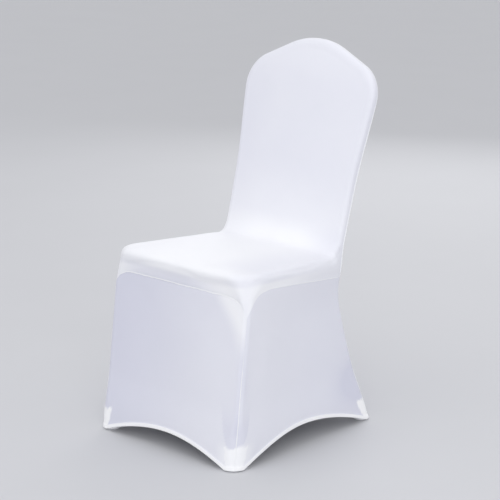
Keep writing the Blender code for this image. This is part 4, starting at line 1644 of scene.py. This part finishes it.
@dataclass
class FootPocket:
    """A round cup of doubled cloth under one foot, leaning with its leg."""

    form: ChairForm
    leg: Leg
    finish: KnitFinish
    height: float = 0.050
    wall: float = 0.0015
    clear: float = 0.0014
    sole_round: float = 0.008
    rim_round: float = 0.001
    sides: int = 56

    @property
    def name(self) -> str:
        """The pocket's name."""
        return f"pocket_{self.leg.name.lower()}"

    @property
    def node(self) -> str:
        """The name of the solid that it stands for."""
        return f"foot_pocket_{self.leg.name.lower()}"

    def build(self) -> bpy.types.Object:
        """Makes the cup: a rounded sole, its wall, a soft rolled rim and the inside."""
        turns = np.radians(np.linspace(0.0, 90.0, 8))
        base = np.column_stack([self.sole_round * (1.0 - np.cos(turns)),
                                -self.sole_round * (1.0 - np.sin(turns))])
        rises = np.linspace(self.sole_round, self.height - self.rim_round, 16)[1:]
        outside = np.column_stack([rises, np.zeros(len(rises))])
        angles = np.radians(np.linspace(0.0, 180.0, 7)[1:-1])
        rim = np.column_stack([self.height - self.rim_round + np.sin(angles) * self.rim_round,
                               -self.wall / 2.0 + np.cos(angles) * self.wall / 2.0])
        inside = outside[::-1] - np.array([0.0, self.wall])
        profile = np.concatenate([base, outside, rim, inside, [[self.wall, -self.sole_round]]])
        angles = 2.0 * math.pi * (np.arange(self.sides) + 0.5) / self.sides
        centres = self.form.leg_axis(self.leg, profile[:, 0])
        radii = self.form.leg_radius(self.leg, profile[:, 0]) - self.clear + profile[:, 1]
        x = centres[:, :1] + radii[:, None] * np.cos(angles)[None, :]
        y = centres[:, 1:] + radii[:, None] * np.sin(angles)[None, :]
        z = np.repeat(profile[:, :1], self.sides, axis=1)
        points = np.stack([x, y, z], axis=2).reshape(-1, 3)
        loops = len(profile)
        *walls, sole, floor = skin(loops, self.sides)
        faces = [(a, d, c, b) for a, b, c, d in walls] + [sole[::-1], floor[::-1]]
        turn = np.tile(angles * float(radii[len(base)]), loops)
        uv = np.column_stack([turn, np.repeat(lengths_of(profile), self.sides)])
        return make_piece(self.name, points, faces, uv, np.ones(len(points)), self.finish.build())


@dataclass
class SeamRoll:
    """The thin raised line along which two panels are sewn, a little uneven."""

    name: str
    path: np.ndarray
    out: np.ndarray
    finish: ThreadFinish
    half_width: float = 0.0010
    half_height: float = 0.0006
    wander: float = 0.0003
    taper: float = 0.03
    fade_from: float = 2.0
    fade_over: float = 0.10
    step: float = 0.0022
    ripple: tuple[float, float] = (210.0, 47.0)
    drift: tuple[float, float] = (63.0, 17.0)

    def build(self) -> bpy.types.Object:
        """Makes the roll."""
        lengths = lengths_of(self.path)
        places = np.linspace(0.0, lengths[-1], max(8, int(lengths[-1] / self.step)))
        path = along(self.path, places)
        out = unit(along_with(self.out, lengths, places))
        ends = smooth(places / self.taper) * smooth((lengths[-1] - places) / self.taper)
        ends = ends * (1.0 - smooth((path[:, 2] - self.fade_from) / self.fade_over))
        wave = np.sin(places * self.ripple[0] + 2.0 * np.sin(places * self.ripple[1]))
        slow = np.sin(places * self.drift[0] + 1.3 * np.sin(places * self.drift[1]))
        across = np.cross(unit(np.gradient(path, axis=0)), out)
        path = path + across * (wave * 0.4 + slow * 0.6)[:, None] * self.wander + out * self.half_height * 0.8
        thick = 0.25 + 0.75 * ends
        return tube(self.name, path, out, self.half_width * thick * (1.0 + 0.12 * wave),
                    self.half_height * thick * (1.0 + 0.12 * slow), 8, self.finish.build())


@dataclass
class StitchRow:
    """A row of real stitches, each a short length of thread that dips into the cloth at both ends."""

    name: str
    path: np.ndarray
    out: np.ndarray
    finish: ThreadFinish
    hem: Hem = field(default_factory=Hem)
    sides: int = 5
    rings: int = 5
    margin: float = 0.004

    def build(self) -> bpy.types.Object:
        """Makes all stitches of the row as one piece."""
        lengths = lengths_of(self.path)
        pitch = self.hem.stitch + self.hem.stitch_gap
        starts = np.arange(self.margin, lengths[-1] - self.margin - self.hem.stitch, pitch)
        share = np.linspace(0.0, 1.0, self.rings)
        places = (starts[:, None] + share[None, :] * self.hem.stitch).ravel()
        centres = along(self.path, places)
        out = unit(along_with(self.out, lengths, places))
        tangent = unit(along(self.path, places + 0.0005) - along(self.path, places - 0.0005))
        across = unit(np.cross(tangent, out))
        arch = np.tile(np.sin(math.pi * share), len(starts))
        centres = centres + out * (self.hem.thread * (arch * 1.1 - 0.3))[:, None]
        angles = 2.0 * math.pi * np.arange(self.sides) / self.sides
        ring = (across[:, None, :] * np.cos(angles)[None, :, None]
                + out[:, None, :] * np.sin(angles)[None, :, None]) * self.hem.thread
        points = (centres[:, None, :] + ring).reshape(-1, 3)
        faces = []
        for s in range(len(starts)):
            faces += skin(self.rings, self.sides, s * self.rings * self.sides)
        uv = np.column_stack([np.repeat(places, self.sides),
                              np.tile(np.arange(self.sides) * 0.0002, len(places))])
        return make_piece(self.name, points, faces, uv, np.ones(len(points)), self.finish.build())


@dataclass
class Studio:
    """The floor, the light and the camera.

    Attributes:
        camera_place: Where the camera stands.
        looking: The direction in which it looks.
        camera_right: The direction to its right.
        focal: Its focal length on a 36 mm sensor, in millimetres.
    """

    camera_place: Point = (2.7577, -2.9781, 1.5047)
    looking: Point = (-0.6554, 0.7122, -0.2515)
    camera_right: Point = (0.7358, 0.6772, 0.0)
    focal: float = 120.85
    sky: Colour = (0.975, 0.98, 1.0)
    sky_strength: float = 0.84
    floor_reach: float = 14.0
    floor: FloorFinish = field(default_factory=FloorFinish)

    def camera(self) -> None:
        """Makes the camera."""
        looking, right = Vector(self.looking).normalized(), Vector(self.camera_right).normalized()
        up = right.cross(looking)
        data = bpy.data.cameras.new("camera")
        data.lens = self.focal
        data.sensor_width = 36.0
        data.clip_end = 60.0
        placed = bpy.data.objects.new("camera", data)
        turn = Matrix((right, up, -looking)).transposed().to_4x4()
        turn.translation = Vector(self.camera_place)
        placed.matrix_world = turn
        bpy.context.scene.collection.objects.link(placed)
        bpy.context.scene.camera = placed

    def lamp(self, name: str, place: Point, aim: Point, size: float, power: float) -> None:
        """Makes one soft square lamp.

        Args:
            name: Its name.
            place: Where it stands.
            aim: The point that it shines at.
            size: Its side, in metres.
            power: Its power, in watts.
        """
        data = bpy.data.lights.new(name, "AREA")
        data.size = size
        data.energy = power
        lamp = bpy.data.objects.new(name, data)
        lamp.location = place
        lamp.rotation_euler = (Vector(aim) - Vector(place)).to_track_quat("-Z", "Y").to_euler()
        bpy.context.scene.collection.objects.link(lamp)

    def light(self) -> None:
        """Makes the sky and the lamps."""
        world = bpy.data.worlds.new("studio")
        world.use_nodes = True
        background = world.node_tree.nodes["Background"]
        background.inputs["Color"].default_value = rgba(self.sky)
        background.inputs["Strength"].default_value = self.sky_strength
        bpy.context.scene.world = world
        bpy.context.scene.view_settings.view_transform = "Standard"
        self.lamp("top_lamp", (0.1, -0.5, 3.2), (0.0, 0.0, 0.4), 2.2, 13.0)
        self.lamp("front_lamp", (2.6, -2.6, 1.6), (0.05, 0.0, 0.5), 2.2, 33.0)
        self.lamp("rear_lamp", (-1.6, 3.0, 1.8), (0.0, 0.0, 0.5), 2.2, 16.0)

    def ground(self) -> None:
        """Makes the floor."""
        points = self.floor_reach * np.array([[-1.0, -1.0, 0.0], [1.0, -1.0, 0.0], [1.0, 1.0, 0.0],
                                              [-1.0, 1.0, 0.0]])
        material = self.floor.build()
        floor = make_piece("studio_floor", points, [(0, 1, 2, 3)], points[:, :2], np.ones(4), material)

    def build(self) -> None:
        """Makes everything round the cover."""
        self.camera()
        self.light()
        self.ground()


# The whole cover

LONG_PANEL_FEATURES: tuple[Crease | Swell, ...] = (
    Crease(((-0.205, -0.2385, 0.424), (-0.129, -0.2390, 0.440), (-0.075, -0.2405, 0.449),
            (-0.015, -0.2400, 0.452), (0.031, -0.2405, 0.446), (0.071, -0.2380, 0.437),
            (0.124, -0.2375, 0.437), (0.175, -0.2405, 0.445), (0.2116, -0.2219, 0.4500)),
           -0.0020, 0.008, 0.012, 0.16),
    Crease(((0.2075, -0.2280, 0.4465), (0.2153, -0.2156, 0.4523), (0.2211, -0.1975, 0.4550),
            (0.2208, -0.1522, 0.4525), (0.2170, -0.0994, 0.4479), (0.2120, -0.0500, 0.4440)),
           0.0018, 0.0030, 0.006),
    Crease(((0.2170, -0.2130, 0.4610), (0.2211, -0.1900, 0.4625), (0.2205, -0.1450, 0.4600),
            (0.2165, -0.0950, 0.4545), (0.2110, -0.0350, 0.4490)), -0.0016, 0.0035, 0.0030),
    Crease(((0.2095, -0.0100, 0.4435), (0.2040, 0.0350, 0.4440), (0.2000, 0.0650, 0.4430),
            (0.1960, 0.1000, 0.4440)), -0.0018, 0.004, 0.003, 0.35),
    Crease(((0.2085, 0.0040, 0.4370), (0.2040, 0.0400, 0.4390), (0.2000, 0.0650, 0.4385),
            (0.1955, 0.1130, 0.4390)), 0.0013, 0.003, 0.005, 0.35),
    Crease(((0.1800, 0.0700, 0.4480), (0.1880, 0.1050, 0.4480), (0.1905, 0.1250, 0.4520),
            (0.1915, 0.1350, 0.4640)), -0.0016, 0.009, 0.009, 0.35),
    Swell((0.13, -0.05, 0.462), 0.0015, (0.05, 0.07, 0.05)),
    Swell((-0.165, -0.03, 0.455), 0.0030, (0.050, 0.110, 0.05)),
    Swell((-0.160, 0.075, 0.447), 0.0030, (0.050, 0.050, 0.04)),
    Swell((-0.06, 0.00, 0.458), -0.0012, (0.05, 0.06, 0.05)),
)

FRONT_FEATURES: tuple[Crease | Swell, ...] = (
    Swell((0.10, -0.25, 0.22), 0.0020, (0.07, 0.08, 0.16)),
    Swell((-0.06, -0.25, 0.20), -0.0016, (0.08, 0.08, 0.18)),
    Crease(((0.150, -0.236, 0.405), (0.120, -0.240, 0.370), (0.060, -0.243, 0.310)),
           -0.0008, 0.016, 0.016, 0.45),
    Crease(((-0.160, -0.236, 0.405), (-0.120, -0.240, 0.370), (-0.070, -0.244, 0.320)),
           -0.0008, 0.016, 0.016, 0.45),
)

SIDE_FEATURES: tuple[Crease | Swell, ...] = (
    Swell((0.217, -0.17, 0.24), 0.0018, (0.06, 0.035, 0.14)),
    Swell((0.214, -0.05, 0.22), -0.0018, (0.06, 0.07, 0.16)),
    Crease(((0.2235, -0.205, 0.395), (0.2190, -0.165, 0.350), (0.2120, -0.060, 0.270)),
           -0.0008, 0.014, 0.014, 0.45),
    Crease(((0.2200, 0.185, 0.100), (0.2080, 0.130, 0.200), (0.1990, 0.110, 0.300)),
           -0.0009, 0.016, 0.016, 0.45),
)


def mirrored(features: Iterable[Crease | Swell]) -> tuple[Crease | Swell, ...]:
    """The same creases and swells on the other side of the cover."""
    made: list[Crease | Swell] = []
    for feature in features:
        if isinstance(feature, Crease):
            line = tuple((-x, y, z) for x, y, z in feature.line)
            made.append(Crease(line, feature.height, feature.above, feature.below, feature.fade))
        else:
            x, y, z = feature.centre
            made.append(Swell((-x, y, z), feature.height, feature.reach))
    return tuple(made)


@dataclass
class ChairCover:
    """The whole cover: panels, pockets, seam rolls and stitched hems."""

    form: ChairForm = field(default_factory=ChairForm)
    # The knit's white colour also stands for painted light, and its grey colour for painted shade.
    knit: KnitFinish = KnitFinish("stretch_knit", "knit", (0.975, 0.980, 0.992), (0.672, 0.680, 0.785))
    doubled: KnitFinish = KnitFinish("doubled_knit", "double_knit", (0.960, 0.965, 0.985), (0.80, 0.81, 0.87))
    thread: ThreadFinish = ThreadFinish("white_thread", (0.965, 0.970, 0.990))
    hem: Hem = field(default_factory=Hem)
    pieces: dict[str, bpy.types.Object] = field(default_factory=dict)

    def keep(self, piece: bpy.types.Object, slot: str, *nodes: str) -> bpy.types.Object:
        """Lets a piece ride on the cover and hides the solids that it stands for."""
        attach(piece, "root")
        if nodes:
            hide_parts(*nodes)
        self.pieces[piece.name] = piece
        LOG.info("%s: %d points", piece.name, len(piece.data.vertices))
        return piece

    def panels(self) -> None:
        """Makes the five panels."""
        made = (
            (LongPanel(self.form, self.knit, features=LONG_PANEL_FEATURES), "seat_and_back_panel"),
            (BackPanel(self.form, self.knit), "back_panel"),
            (Skirt(self.form, Wall.FRONT, "front_wall", self.knit, features=FRONT_FEATURES), "front_skirt"),
            (Skirt(self.form, Wall.RIGHT, "side_wall_right", self.knit, features=SIDE_FEATURES),
             "side_skirt_right"),
            (Skirt(self.form, Wall.LEFT, "side_wall_left", self.knit, features=mirrored(SIDE_FEATURES)),
             "side_skirt_left"),
        )
        for panel, node in made:
            self.keep(panel.build(), "knit", node)

    def pockets(self) -> None:
        """Makes the four foot pockets."""
        for leg in Leg:
            pocket = FootPocket(self.form, leg, self.doubled)
            self.keep(pocket.build(), "double_knit", pocket.node)

    def leg_seam(self, wall: Wall, top: float) -> tuple[np.ndarray, np.ndarray]:
        """The seam down a leg, at the far end of a wall."""
        z = np.linspace(self.form.hem_low + 0.010, top, 180)
        points, out = self.form.wall_points(wall, np.full(len(z), 2.0), z)
        return points + out * 0.0006, out

    def roll(self, name: str, path: np.ndarray, out: np.ndarray, **sizes: float) -> None:
        """Makes one roll along a sewn seam.

        Args:
            name: Its name.
            path: The seam's points.
            out: The outward directions there.
            sizes: The roll's own sizes.
        """
        self.keep(SeamRoll(name, path, out, self.thread, **sizes).build(), "double_knit")

    def seams(self) -> None:
        """Makes the rolls along the sewn seams."""
        form = self.form
        c = np.linspace(-0.35, 1.0, 260)
        front, out = form.wall_points(Wall.FRONT, c, form.front_seam_z(c))
        self.roll("seam_front", front, out, half_width=0.0012, half_height=0.0010, wander=0.0007)
        c = np.linspace(0.06, 1.9, 240)
        side, out = form.wall_points(Wall.RIGHT, c, form.side_seam_z(c))
        for name, flip in (("seam_side_right", 1.0), ("seam_side_left", -1.0)):
            turn = np.array([flip, 1.0, 1.0])
            self.roll(name, side * turn, out * turn, half_width=0.0008, half_height=0.0004)
        rear_top = float(form.side_seam_z(np.array([2.0]))[0])
        tops = {Wall.FRONT: form.leg_seam, Wall.RIGHT: rear_top, Wall.REAR: rear_top,
                Wall.LEFT: form.leg_seam}
        for wall, top in tops.items():
            path, out = self.leg_seam(wall, top)
            name = f"seam_leg_{list(Leg)[wall.value].name.lower()}"
            self.roll(name, path, out, half_width=0.0009, fade_from=0.20, fade_over=0.10)
        seam = form.back_seam()
        path = np.concatenate([seam["bend"][0], seam["side"][0][1:], seam["crown"][0][1:]])
        out = np.concatenate([seam["bend"][1], seam["side"][1][1:], seam["crown"][1][1:]])
        path = np.concatenate([path, path[-2::-1] * MIRROR])
        out = np.concatenate([out, out[-2::-1] * MIRROR])
        self.roll("seam_back", path, out, half_width=0.0012, half_height=0.0011, wander=0.0002,
                  fade_from=0.74, fade_over=0.12)

    def stitching(self) -> None:
        """Makes the row of stitches along each hem."""
        for wall in Wall:
            c = np.linspace(-0.9, 1.9, 420)
            z = self.form.hem_z(wall, c) + self.hem.groove_at
            points, out = self.form.wall_points(wall, c, z)
            points = points + out * (0.00055 + self.hem.proud - self.hem.groove)
            row = StitchRow(f"stitches_{wall.name.lower()}", points, out, self.thread, self.hem)
            self.keep(row.build(), "double_knit")

    def build(self) -> None:
        """Makes the cover."""
        self.panels()
        self.pockets()
        self.seams()
        self.stitching()


def main() -> None:
    """Loads the frame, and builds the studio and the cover."""
    logging.basicConfig(level=logging.INFO, format="%(name)s: %(message)s")
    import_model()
    Studio().build()
    ChairCover().build()


if __name__ == "__main__":
    main()
